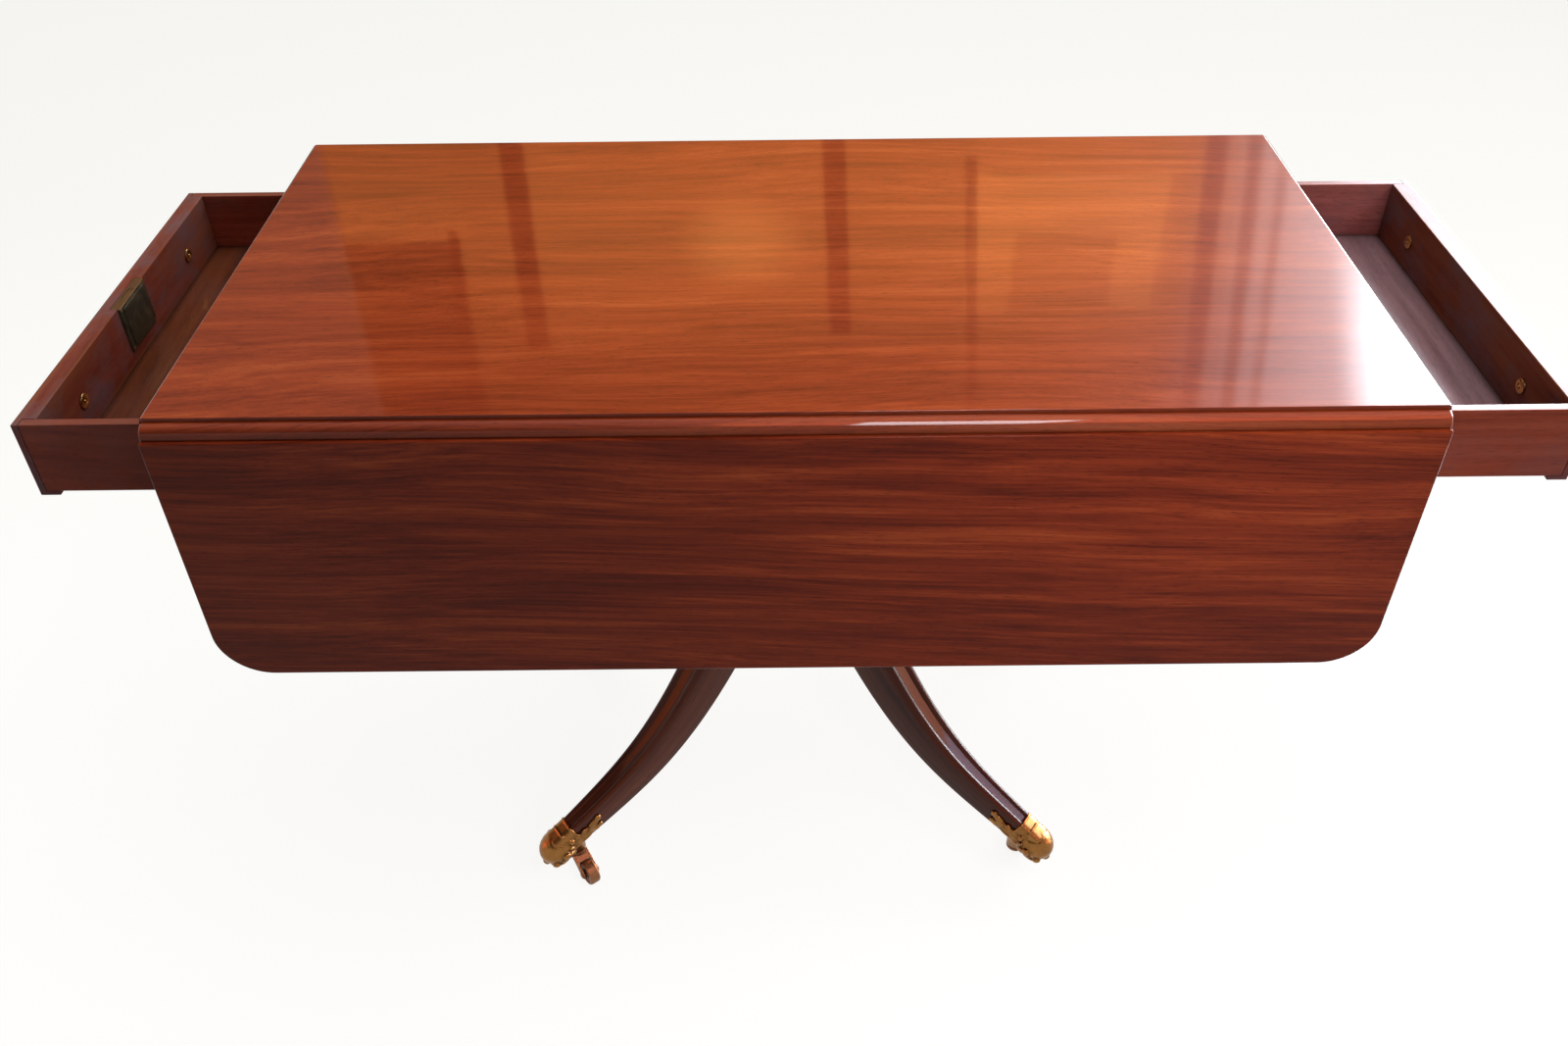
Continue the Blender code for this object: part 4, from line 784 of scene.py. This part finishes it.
def leg_section():
    """A leg's section: foot, sides, a reed along each edge and the hollow field between the reeds."""
    half, rise = LEG_WIDTH / 2, LEG_DEPTH / 2
    foot = arc((half - LEG_FOOT_ROUND, -rise + LEG_FOOT_ROUND), LEG_FOOT_ROUND, -90, 0, 4)
    reed = arc((half - LEG_REED, rise - LEG_REED), LEG_REED, 0, LEG_REED_SWEEP, 12)
    start = reed[-1]
    field = [Vector((start.x * (1 - t), start.y - LEG_HOLLOW * sin(pi / 2 * t))) for t in LEG_HOLLOW_STEPS]
    right = foot + reed + field
    return right + [Vector((0.0, start.y - LEG_HOLLOW))] + [Vector((-x, y)) for x, y in reversed(right)]


def leg(bm, name):
    """One leg, with each point's place along and across the grain."""
    turn, section, path = leg_turn(name), leg_section(), leg_path()
    layer = bm.verts.layers.float_vector.new("grain")
    rings, grains = [], []
    run, last = 0.0, path[0][0]
    for point, ahead, share in path:
        run += (point - last).length
        last = point
        out = Vector((-ahead.z, 0, ahead.x))
        rings.append([turn @ (point + Vector((0, a * share, 0)) + out * b * share) for a, b in section])
        grains += [Vector((run, a + LEGS.index(name), b)) for a, b in section]
    skin(bm, rings)
    bm.verts.ensure_lookup_table()
    for vert, grain in zip(bm.verts, grains):
        vert[layer] = grain


def legs():
    for name in LEGS:
        made = make(f"leg_reeded_{name}", LEG_WOOD, leg, name)
        ready(made, "carcass", "dark_mahogany", f"leg_{name}", crease=38.0, flat=False)


def pillar():
    """The turned pillar: tenon, capital, vase, collar, waist, drum and drop, from the top down."""
    low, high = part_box("pillar")
    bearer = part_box("pedestal_bearer")[0].z
    sweep, arris = RING_SWEEP, DRUM_ARRIS
    rim = high.x - RING
    cap_foot = bearer - 2 * RING
    neck_z = cap_foot - 3 * RING
    collar = DRUM_TOP + 4 * RING
    belly = collar + (neck_z - collar) * PILLAR_BELLY
    neck, swell = PILLAR_NECK, PILLAR_VASE - PILLAR_NECK
    steps = [i / 20 for i in range(21)]
    under = DRUM_FOOT - RING / 2
    profile = [
        (0.0, bearer + RING), (PILLAR_TENON, bearer + RING),
        (PILLAR_TENON, bearer - FIT), (rim, bearer - FIT),
        *arc((rim, bearer - RING), RING - FIT, sweep, -sweep, 10),
        *((radius, cap_foot - drop) for radius, drop in PILLAR_THROAT),
        *((neck + swell * (1 - cos(pi * t)) / 2, neck_z + (belly - neck_z) * t) for t in steps),
        *((neck + swell * cos(pi / 2 * t), belly + (collar - belly) * t) for t in steps[1:-1]),
        (neck, collar),
        *arc((DRUM_RADIUS - RING, collar - RING), RING, sweep, -sweep, 10),
        (PILLAR_WAIST + PILLAR_FLARE, collar - 2 * RING - arris), (PILLAR_WAIST, collar - 3 * RING),
        (PILLAR_WAIST + PILLAR_COVE, DRUM_TOP + PILLAR_COVE),
        (DRUM_RADIUS - arris, DRUM_TOP), (DRUM_RADIUS, DRUM_TOP - arris),
        (DRUM_RADIUS, DRUM_FOOT + arris), (DRUM_RADIUS - arris, DRUM_FOOT),
        (DROP_RADIUS, DRUM_FOOT - DROP_SHADOW),
        *((DROP_RADIUS * cos(a), under - (under - low.z) * sin(a)) for a in quarter(14)[:-1]),
        (0.0, low.z),
    ]
    made = make("pillar_turned", PILLAR_WOOD, turned, profile, Matrix.Identity(4), 72)
    ready(made, "carcass", "dark_mahogany", "pillar", crease=40.0, flat=False)


def blob(bm, centre, size, lie=Matrix.Identity(4)):
    """An ellipsoid, as stuff for the cap's casting."""
    shape = lie @ Matrix.Translation(centre) @ Matrix.Diagonal((*size, 1.0))
    bmesh.ops.create_icosphere(bm, subdivisions=3, radius=1.0, matrix=shape)


def cap_leaves(bm, bulb):
    """Acanthus leaves that rise from the bulb's underside and fold over its nose and sides."""
    nose = Vector((-CAP_LEAF_ROOT.z, 0.0, CAP_LEAF_ROOT.x))

    def on_bulb(down, around):
        """A place on the bulb: its matrix has X up the leaf and Z out of the bulb."""
        ahead = nose * cos(around) + Vector((0.0, sin(around), 0.0))
        unit = CAP_LEAF_ROOT * cos(down) + ahead * sin(down)
        out = Vector((unit.x / bulb.x, unit.y / bulb.y, unit.z / bulb.z)).normalized()
        climb = ahead * cos(down) - CAP_LEAF_ROOT * sin(down)
        climb = (climb - out * climb.dot(out)).normalized()
        lie = Matrix((climb, out.cross(climb), out)).transposed().to_4x4()
        return Matrix.Translation(BULB_CENTRE + unit * bulb) @ lie

    def lump(tip, around, share, long, wide, thick, lift):
        size = (long, wide, CAP_RELIEF * thick)
        blob(bm, Vector((0.0, 0.0, CAP_RELIEF * lift)), size, on_bulb(tip * share, around))

    for i in range(-CAP_LEAVES, CAP_LEAVES + 1):
        around = radians(CAP_LEAF_APART * i)
        tip = radians(CAP_LEAF_TIP - CAP_LEAF_SHORTER * abs(i))
        for sizes in CAP_LEAF_LUMPS:
            lump(tip, around, *sizes)
        if i < CAP_LEAVES:
            lump(tip, around + radians(CAP_LEAF_APART / 2), *CAP_BUD)


def cap_tongue(bm, side, wide, deep):
    """A leaf that runs back from the bulb along the low half of a leg's side and parts into two lobes."""
    face, low = side * (wide - CAP_WALL * 0.3), -deep + CAP_WALL
    for x, z, long, high, thick in TONGUE_LUMPS:
        blob(bm, Vector((x, face, low + z)), (long, thick, high))
    for x, z in VEINS:
        blob(bm, Vector((x, face + side * CAP_WALL, low + z)), VEIN_SIZE)


def cap_stuff(bm):
    """All that is fused into a toe cap: bulb, collar with two beads, leaves and tongues."""
    wide, deep = LEG_WIDTH * LEG_TAPER / 2 + CAP_WALL, LEG_DEPTH * LEG_TAPER / 2 + CAP_WALL
    bulb = BULB - Vector((CAP_RELIEF, CAP_RELIEF, CAP_RELIEF))
    blob(bm, BULB_CENTRE, bulb)
    collar = rectangle((-wide, -deep), (wide, deep), CAP_CORNER, 6)
    slab(bm, collar, -CAP_COLLAR, BULB_CENTRE.x, CAP_WALL * 0.5, "x")
    rim = Vector((wide + BEAD_RISE, deep + BEAD_RISE))
    bead = rectangle(-rim, rim, CAP_CORNER + BEAD_RISE, 6)
    for place in (-CAP_COLLAR, -BEAD):
        slab(bm, bead, place, place + BEAD, BEAD * 0.45, "x")
    cap_leaves(bm, bulb)
    for side in (-1, 1):
        cap_tongue(bm, side, wide, deep)


def toe_caps():
    """One casting for all toes, with a round boss under each for the castor's stem."""
    casting = make("cap_casting", CAP_BRASS, cap_stuff)
    fuse = casting.modifiers.new("fuse", "REMESH")
    fuse.mode, fuse.voxel_size = "VOXEL", CAP_VOXEL
    relax = casting.modifiers.new("relax", "SMOOTH")
    relax.factor, relax.iterations = RELAX, RELAX_ROUNDS
    settle(casting)
    toe = Matrix.Translation((LEG_TOE_REACH, 0, LEG_TOE_HEIGHT)) @ Matrix.Rotation(LEG_TOE_SLOPE, 4, "Y")
    for name in LEGS:
        mesh = casting.data.copy()
        mesh.transform(leg_turn(name) @ toe)
        cap = placed(f"toe_cap_cast_{name}", mesh)
        x, y, _ = JOINTS[f"{name}_castor_swivel"]["pos_m"]
        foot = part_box(f"castor_horn_{name}")[1].z - STEM_LENGTH + FIT
        head, arris = foot + BOSS_HEIGHT, BOSS_ARRIS
        boss = [(0.0, head), (HORN_RADIUS, head), (HORN_RADIUS, foot + arris)]
        boss += [(HORN_RADIUS - arris, foot), (0.0, foot)]
        bm = bmesh.new()
        turned(bm, boss, Matrix.Translation((x, y, 0.0)))
        bmesh.ops.recalc_face_normals(bm, faces=bm.faces[:])  # the casting's own are right
        bm.from_mesh(mesh)
        bm.to_mesh(mesh)
        bm.free()
        ready(cap, "carcass", "gilt_brass", f"toe_cap_{name}", crease=60.0, flat=False)
    bpy.data.objects.remove(casting)


def castor_fork(name, pivot, hub, inner):
    """A round plate under the cap, two arms to the axle and a web between them, clear of the wheel."""
    place = Matrix.Translation((pivot.x, pivot.y, 0))
    place = place @ Matrix.Rotation(atan2(hub.y - pivot.y, hub.x - pivot.x), 4, "Z")
    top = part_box(f"castor_horn_{name}")[1].z - STEM_LENGTH
    foot = top - HORN_THICK
    bend = [(HORN_ROUND * (1 - t) ** 2, HORN_ROUND * t**2) for t in (0.0, 0.25, 0.5, 0.75, 1.0)]
    plate = [(0, top), *((HORN_RADIUS - x, top - z) for x, z in bend)]
    plate += [*((HORN_RADIUS - x, foot + z) for x, z in reversed(bend)), (0, foot)]
    start, eye = Vector((0, top - HORN_THICK / 2)), Vector((CASTOR_TRAIL, hub.z))
    lean = degrees(atan2(eye.y - start.y, eye.x - start.x))
    arm = arc(start, HORN_THICK / 2, lean + 90, lean + 270, 8)
    arm += arc(eye, EYE_RADIUS, lean - 90, lean + 90, 14)
    half = inner + HORN_ARM / 2
    web = make("web", CASTOR_BRASS, slab, arm, -half, half, WEB_EDGE, "y")
    room = [(CASTOR_TRAIL, side * 2 * inner, hub.z) for side in (-1, 1)]
    carve(web, rod(*room, WHEEL_RADIUS + WHEEL_GAP, 48))

    def fork(bm):
        turned(bm, plate)
        for side in (-1, 1):
            slab(bm, arm, *sorted((side * inner, side * (inner + HORN_ARM))), ARM_EDGE, "y")
        bm.from_mesh(web.data)
        bm.transform(place)

    made = make(f"castor_fork_{name}", CASTOR_BRASS, fork)
    bpy.data.objects.remove(web)
    ready(made, f"{name}_castor", "gilt_brass", f"castor_horn_{name}")


def castor_roller(name, hub, axle, inner):
    """A wheel with dished sides on an axle with a round head at each end."""
    half, head = WHEEL_WIDTH / 2, inner + HORN_ARM
    end = head + HEAD_RISE
    upper = [(HEAD_RADIUS * 0.7, end), (HEAD_RADIUS, head + HEAD_RIM)]
    upper += [(HEAD_RADIUS, head), (AXLE_RADIUS, head), (AXLE_RADIUS, half)]
    upper += [(radius, half - depth) for radius, depth in WHEEL_FACE]
    lower = [(radius, -height) for radius, height in reversed(upper)]
    profile = [(0.0, end), *upper, *lower, (0.0, -end)]
    made = make(f"castor_roller_{name}", CASTOR_BRASS, turned, profile, aimed(hub, axle))
    ready(made, f"{name}_wheel", "gilt_brass", f"castor_wheel_{name}")


def castors():
    inner = WHEEL_WIDTH / 2 + WHEEL_PLAY
    for name in LEGS:
        roll, swivel = JOINTS[f"{name}_wheel_roll"], JOINTS[f"{name}_castor_swivel"]
        hub = Vector(roll["pos_m"])
        castor_fork(name, Vector(swivel["pos_m"]), hub, inner)
        castor_roller(name, hub, Vector(roll["axis"]).normalized(), inner)


def carried_over():
    """Finishes for the nodes that show as they are, by the start of their names."""
    finishes = {"hinge": DULL_BRASS, "lock_bolt": DULL_BRASS, "keyhole": GILT, "end_top_rail": FRONT_WOOD}
    finishes.update(dict.fromkeys(("side_rail", "fly", "drawer_runner"), CARCASS_WOOD))
    for name, node in frame["nodes"].items():
        for start, material in finishes.items():
            if name.startswith(start):
                for slot in node.material_slots:
                    slot.material = material


STAGE_REACH, STAGE_HEIGHT, STAGE_BEND = 7.0, 5.0, 1.5
STAGE_RINGS, STAGE_SIDES = 6, 64
FLOOR_GREY = 0.35
FLOOR_SHADOWED = 0.18
FLOOR_NEAR, FLOOR_FAR = -0.5, 1.6
NEAR_WHITE = (0.912, 0.908, 0.895)
FAR_WHITE = (0.842, 0.835, 0.805)


def stage():
    """A pale floor that rises into a round wall."""
    profile = [(STAGE_REACH * i / STAGE_RINGS, 0.0) for i in range(STAGE_RINGS + 1)]
    bends = quarter(10)[1:]
    profile += [(STAGE_REACH + STAGE_BEND * sin(a), STAGE_BEND - STAGE_BEND * cos(a)) for a in bends]
    profile.append((STAGE_REACH + STAGE_BEND, STAGE_HEIGHT))
    s = Shader("stage_floor")
    s.set(Base_Color=[FLOOR_GREY] * 3, Roughness=0.9, Specular_IOR_Level=0.1)
    seen = s.add("ShaderNodeLightPath").outputs
    rays = s.math("MAXIMUM", seen["Is Camera Ray"], seen["Is Glossy Ray"])
    rays = s.math("MAXIMUM", rays, seen["Is Transmission Ray"])
    shadowed = s.add("ShaderNodeBsdfDiffuse", [FLOOR_SHADOWED] * 3)
    depth = s.vary(s.axes(s.geometry("Position"))[1], FLOOR_NEAR, FLOOR_FAR)
    glow = s.ramp(depth, [(0.0, NEAR_WHITE), (1.0, FAR_WHITE)])
    white = s.add("ShaderNodeEmission", glow, 1.0)
    pale = s.add("ShaderNodeAddShader", shadowed.outputs[0], white.outputs[0])
    s.show(s.add("ShaderNodeMixShader", rays, s.surface.outputs[0], pale.outputs[0]))
    floor = make("stage_floor", s.owner, turned, profile, Matrix.Identity(4), STAGE_SIDES)
    shade(floor, 80.0)


CARD_Y = 3.0
CARD_STOPS = [  # place along the card, brightness of the warm room that the polished top mirrors
    (-3.0, 0.12), (-1.535, 0.12), (-1.505, 1.1), (-1.12, 1.15), (-1.09, 1.05), (-0.95, 1.1), (-0.84, 1.35),
    (0.08, 1.55), (0.24, 1.45), (0.6, 1.6), (0.64, 1.85), (1.3, 1.75), (1.4, 1.2), (1.6, 0.8),
    (2.2, 0.4), (5.0, 0.4),
]
CARD_LEVELS = [  # height on the card, share of that brightness
    (0.9, 0.5), (1.85, 0.6), (2.1, 0.9), (2.3, 1.0), (2.5, 0.75), (2.75, 0.4), (3.0, 0.3), (4.2, 0.3),
]
CARD_LEAN_LEVEL = 1.85
CARD_SHADES = [  # left, right, foot and head of a dark patch of the room, its lean, soft rim and depth
    (-1.52, -1.12, 2.24, 4.2, 0.0, 0.015, 0.8),
    (-1.137, -1.1, 2.2, 4.2, -0.05, 0.008, 0.9), (-0.938, -0.858, 0.9, 2.68, 0.0, 0.012, 0.9),
    (0.119, 0.195, 0.9, 2.62, 0.05, 0.01, 0.85), (0.585, 0.625, 1.95, 4.2, 0.08, 0.008, 0.6),
    (0.79, 1.14, 2.24, 2.54, 0.0, 0.01, 0.3), (1.375, 1.445, 0.9, 4.2, 0.09, 0.014, 0.8),
    (1.51, 1.56, 0.9, 4.2, 0.11, 0.014, 0.7), (1.615, 1.655, 0.9, 4.2, 0.11, 0.014, 0.5),
]
CARD_FRAME = (0.63, 1.29, 2.015, 2.545, 0.0, 0.01, 0.45)
CARD_WARM = (1.0, 0.36, 0.085)
CARD_PEAK = 2.5
VEIL_EDGE, VEIL_SOFT = -1.52, 0.015
VEIL_COLOUR = (1.0, 0.72, 0.55)
VEIL_STRENGTH = 0.22
SPOT_CENTRE = (-0.15, 2.27)
SPOT_REACH = (0.22, 0.18)
SPOT_FALL, SPOT_POWER = (1.4, 0.1), 1.6
SPOT_STRENGTH = 1.3
HAZE_START, HAZE_END = 1.32, 2.1
HAZE_COLOUR = (0.86, 0.9, 1.0)
HAZE_STRENGTH = 2.6
WINDOW_EDGE, WINDOW_END, WINDOW_HEAD = 1.95, 3.25, 3.5
WINDOW_LEAN, WINDOW_LEVEL = 0.3, 2.22
WINDOW_SOFT = 0.12
WINDOW_FADE_UP = (2.1, 2.65, 0.35, 1.0)
WINDOW_FADE = (2.5, 3.1, 1.0, 0.6)
WINDOW_COLOUR = (0.92, 0.98, 1.06)
WINDOW_STRENGTH = 11.0


def reflection_card():
    """What the polish mirrors: a warm room behind the table with a bright window at its right."""
    s = Shader("reflection_card")
    x, _, z = s.axes(s.place("x"))

    def glow(value, stops):
        first, last = stops[0][0], stops[-1][0]
        greys = [((at - first) / (last - first), (level / CARD_PEAK,) * 3) for at, level in stops]
        return s.ramp(s.vary(value, first, last), greys)

    def past(value, edge, soft):
        """How far a value is past a soft edge, or short of it where soft is negative."""
        return s.vary(value, edge - soft, edge + soft, soft=True)

    def product(first, *others):
        for other in others:
            first = s.math("MULTIPLY", first, other)
        return first

    def leaning(lean, level):
        return s.math("SUBTRACT", x, s.math("MULTIPLY", s.math("SUBTRACT", z, level), lean))

    def patch(left, right, foot, head, lean, soft, depth):
        """How much of a patch a point is in, up to its depth."""
        across = leaning(lean, CARD_LEAN_LEVEL)
        beside = past(across, left, soft), past(across, right, -soft)
        return product(*beside, past(z, foot, soft), past(z, head, -soft), depth)

    def spot(centre, reach):
        away = [s.math("POWER", s.math("DIVIDE", s.math("SUBTRACT", value, middle), size), 2.0)
                for value, middle, size in zip((x, z), centre, reach)]
        return s.math("POWER", s.vary(s.math("ADD", *away), *SPOT_FALL), SPOT_POWER)

    room = s.mix(1.0, glow(x, CARD_STOPS), glow(z, CARD_LEVELS), "MULTIPLY")
    lit = s.math("ADD", patch(*CARD_FRAME), 1.0)
    lit = product(lit, *(s.math("SUBTRACT", 1.0, patch(*dark)) for dark in CARD_SHADES))
    window = product(
        past(leaning(WINDOW_LEAN, WINDOW_LEVEL), WINDOW_EDGE, WINDOW_SOFT), s.vary(z, *WINDOW_FADE_UP),
        past(z, WINDOW_HEAD, -WINDOW_SOFT), past(x, WINDOW_END, -WINDOW_SOFT),
        s.vary(x, *WINDOW_FADE), WINDOW_STRENGTH)
    haze = product(s.vary(x, HAZE_START, HAZE_END, soft=True), lit, HAZE_STRENGTH)
    glows = (
        (s.mix(1.0, room, CARD_WARM, "MULTIPLY"), product(lit, CARD_PEAK**2)),
        (CARD_WARM, product(spot(SPOT_CENTRE, SPOT_REACH), SPOT_STRENGTH)),
        (VEIL_COLOUR, product(past(x, VEIL_EDGE, -VEIL_SOFT), VEIL_STRENGTH)),
        (HAZE_COLOUR, haze),
        (WINDOW_COLOUR, window),
    )
    total, *others = (s.add("ShaderNodeEmission", *glow_part) for glow_part in glows)
    for light in others:
        total = s.add("ShaderNodeAddShader", total.outputs[0], light.outputs[0])
    s.show(total)
    (left, *_, right), (foot, *_, head) = ([at for at, _ in stops] for stops in (CARD_STOPS, CARD_LEVELS))
    corners = ((left, foot), (right, foot), (right, head), (left, head))
    hang_card("reflection_card", [(across, CARD_Y, level) for across, level in corners], s.owner)


def hang_card(name, corners, material):
    """A glowing sheet that only polish and metal mirror."""
    card = make(name, material, lambda bm: bm.faces.new([bm.verts.new(corner) for corner in corners]))
    card.visible_camera = card.visible_diffuse = card.visible_shadow = card.visible_transmission = False


SIDE_CARDS = {  # two floor points below a sheet, its foot and head, colour and strength
    "side_window": ((2.3, 2.9), (3.1, 0.85), 0.05, 1.6, (0.84, 0.92, 1.0), 44.0),
    "side_wall": ((3.1, 0.4), (3.1, -0.35), 0.05, 1.2, (1.0, 0.42, 0.28), 11.0),
    "side_sky": ((3.1, 1.3), (3.1, -0.1), 1.2, 2.8, (0.8, 0.74, 1.0), 13.0),
    "left_wall": ((-3.1, -0.35), (-3.1, 0.28), 0.05, 1.9, (1.0, 0.24, 0.1), 4.5),
}
FLAT_CARDS = {  # near left and far right corner of a level sheet, its height, colour and strength
    "joint_light": ((0.2, -2.7), (0.78, -1.1), 3.0, (0.97, 0.95, 1.0), 16.0),
    "joint_warm": ((-0.2, -2.4), (1.9, -1.2), 3.01, (1.0, 0.16, 0.08), 4.5),
    "floor_glow": ((0.65, -0.1), (3.0, 2.4), 0.004, (0.84, 0.92, 1.0), 8.0),
}


def glow_card(name, corners, colour, strength):
    s = Shader(name)
    s.show(s.add("ShaderNodeEmission", colour, strength))
    hang_card(name, corners, s.owner)


def side_cards():
    """Windows and walls that the reeds, the caps and the rule joint mirror."""
    for name, (start, end, foot, head, *light) in SIDE_CARDS.items():
        glow_card(name, [(*start, foot), (*end, foot), (*end, head), (*start, head)], *light)
    for name, ((left, near), (right, far), level, *light) in FLAT_CARDS.items():
        corners = ((left, near), (right, near), (right, far), (left, far))
        glow_card(name, [(*corner, level) for corner in corners], *light)


WHITE = (1.0, 1.0, 1.0)
LAMPS = {  # centre, the point it faces, width and length, radiance and colour
    "overhead": ((0.3, 0.9, 3.2), (0, 0.2, 0.7), (3.0, 2.2), 1.15, WHITE),
    "skylight": ((0.8, -0.9, 3.0), (0.8, -0.9, 0.7), (0.45, 1.4), 4.5, WHITE),
    "side": ((0.34, -0.76, 0.8), (0.3, -0.28, 0.58), (0.22, 0.22), 8.0, WHITE),
    "window": ((2.9, 2.4, 2.6), (0, 0, 0.6), (1.4, 1.2), 1.2, WHITE),
    "right": ((3.0, 1.1, 1.8), (0, 0, 0.5), (1.5, 1.3), 2.0, (0.9, 0.95, 1.0)),
    "right_front": ((1.3, -0.9, 1.6), (0.6, 0.1, 0.6), (0.5, 0.5), 4.5, (1.0, 0.94, 1.0)),
}
LAMP_POWER = 4  # watts a square metre at a radiance of one
SKY_BRIGHTEST = Vector((0.6, 0.5, 0.62)).normalized()
SKY_SPREAD = (-0.2, 1.0, 0.06, 0.6)
SKY_COLOUR = (1.0, 0.99, 0.97)


def lights():
    """Soft lamps that nothing mirrors, and a room that is brighter to the back right."""
    for name, (centre, aim, (width, length), radiance, colour) in LAMPS.items():
        lamp = bpy.data.lights.new(name, "AREA")
        lamp.shape, lamp.size, lamp.size_y = "RECTANGLE", width, length
        lamp.energy = LAMP_POWER * radiance * width * length
        lamp.color = colour
        made = placed(name, lamp)
        made.matrix_world = aimed(centre, Vector(aim) - Vector(centre), "-Z")
        made.visible_camera = made.visible_glossy = False
    s = Shader("room", bpy.data.worlds.new("room"), "Background")
    bpy.context.scene.world = s.owner
    coords = s.add("ShaderNodeTexCoord").outputs["Generated"]
    toward = s.add("ShaderNodeVectorMath", coords, SKY_BRIGHTEST, operation="DOT_PRODUCT").outputs["Value"]
    s.set(Color=SKY_COLOUR, Strength=s.vary(toward, *SKY_SPREAD, soft=True))


def camera():
    lens = bpy.data.cameras.new("camera")
    lens.lens = CAMERA_LENS
    lie = Matrix.Translation(CAMERA_PLACE)
    for angle, axis in ((-CAMERA_YAW, "Z"), (pi / 2 - CAMERA_PITCH, "X"), (CAMERA_ROLL, "Z")):
        lie = lie @ Matrix.Rotation(angle, 4, axis)
    made = placed("camera", lens)
    made.matrix_world = lie
    bpy.context.scene.camera = made


camera()
table_top()
leaves()
drawers()
lock()
frieze()
legs()
pillar()
toe_caps()
castors()
carried_over()
stage()
reflection_card()
side_cards()
lights()
bpy.context.scene.view_settings.view_transform = "Standard"
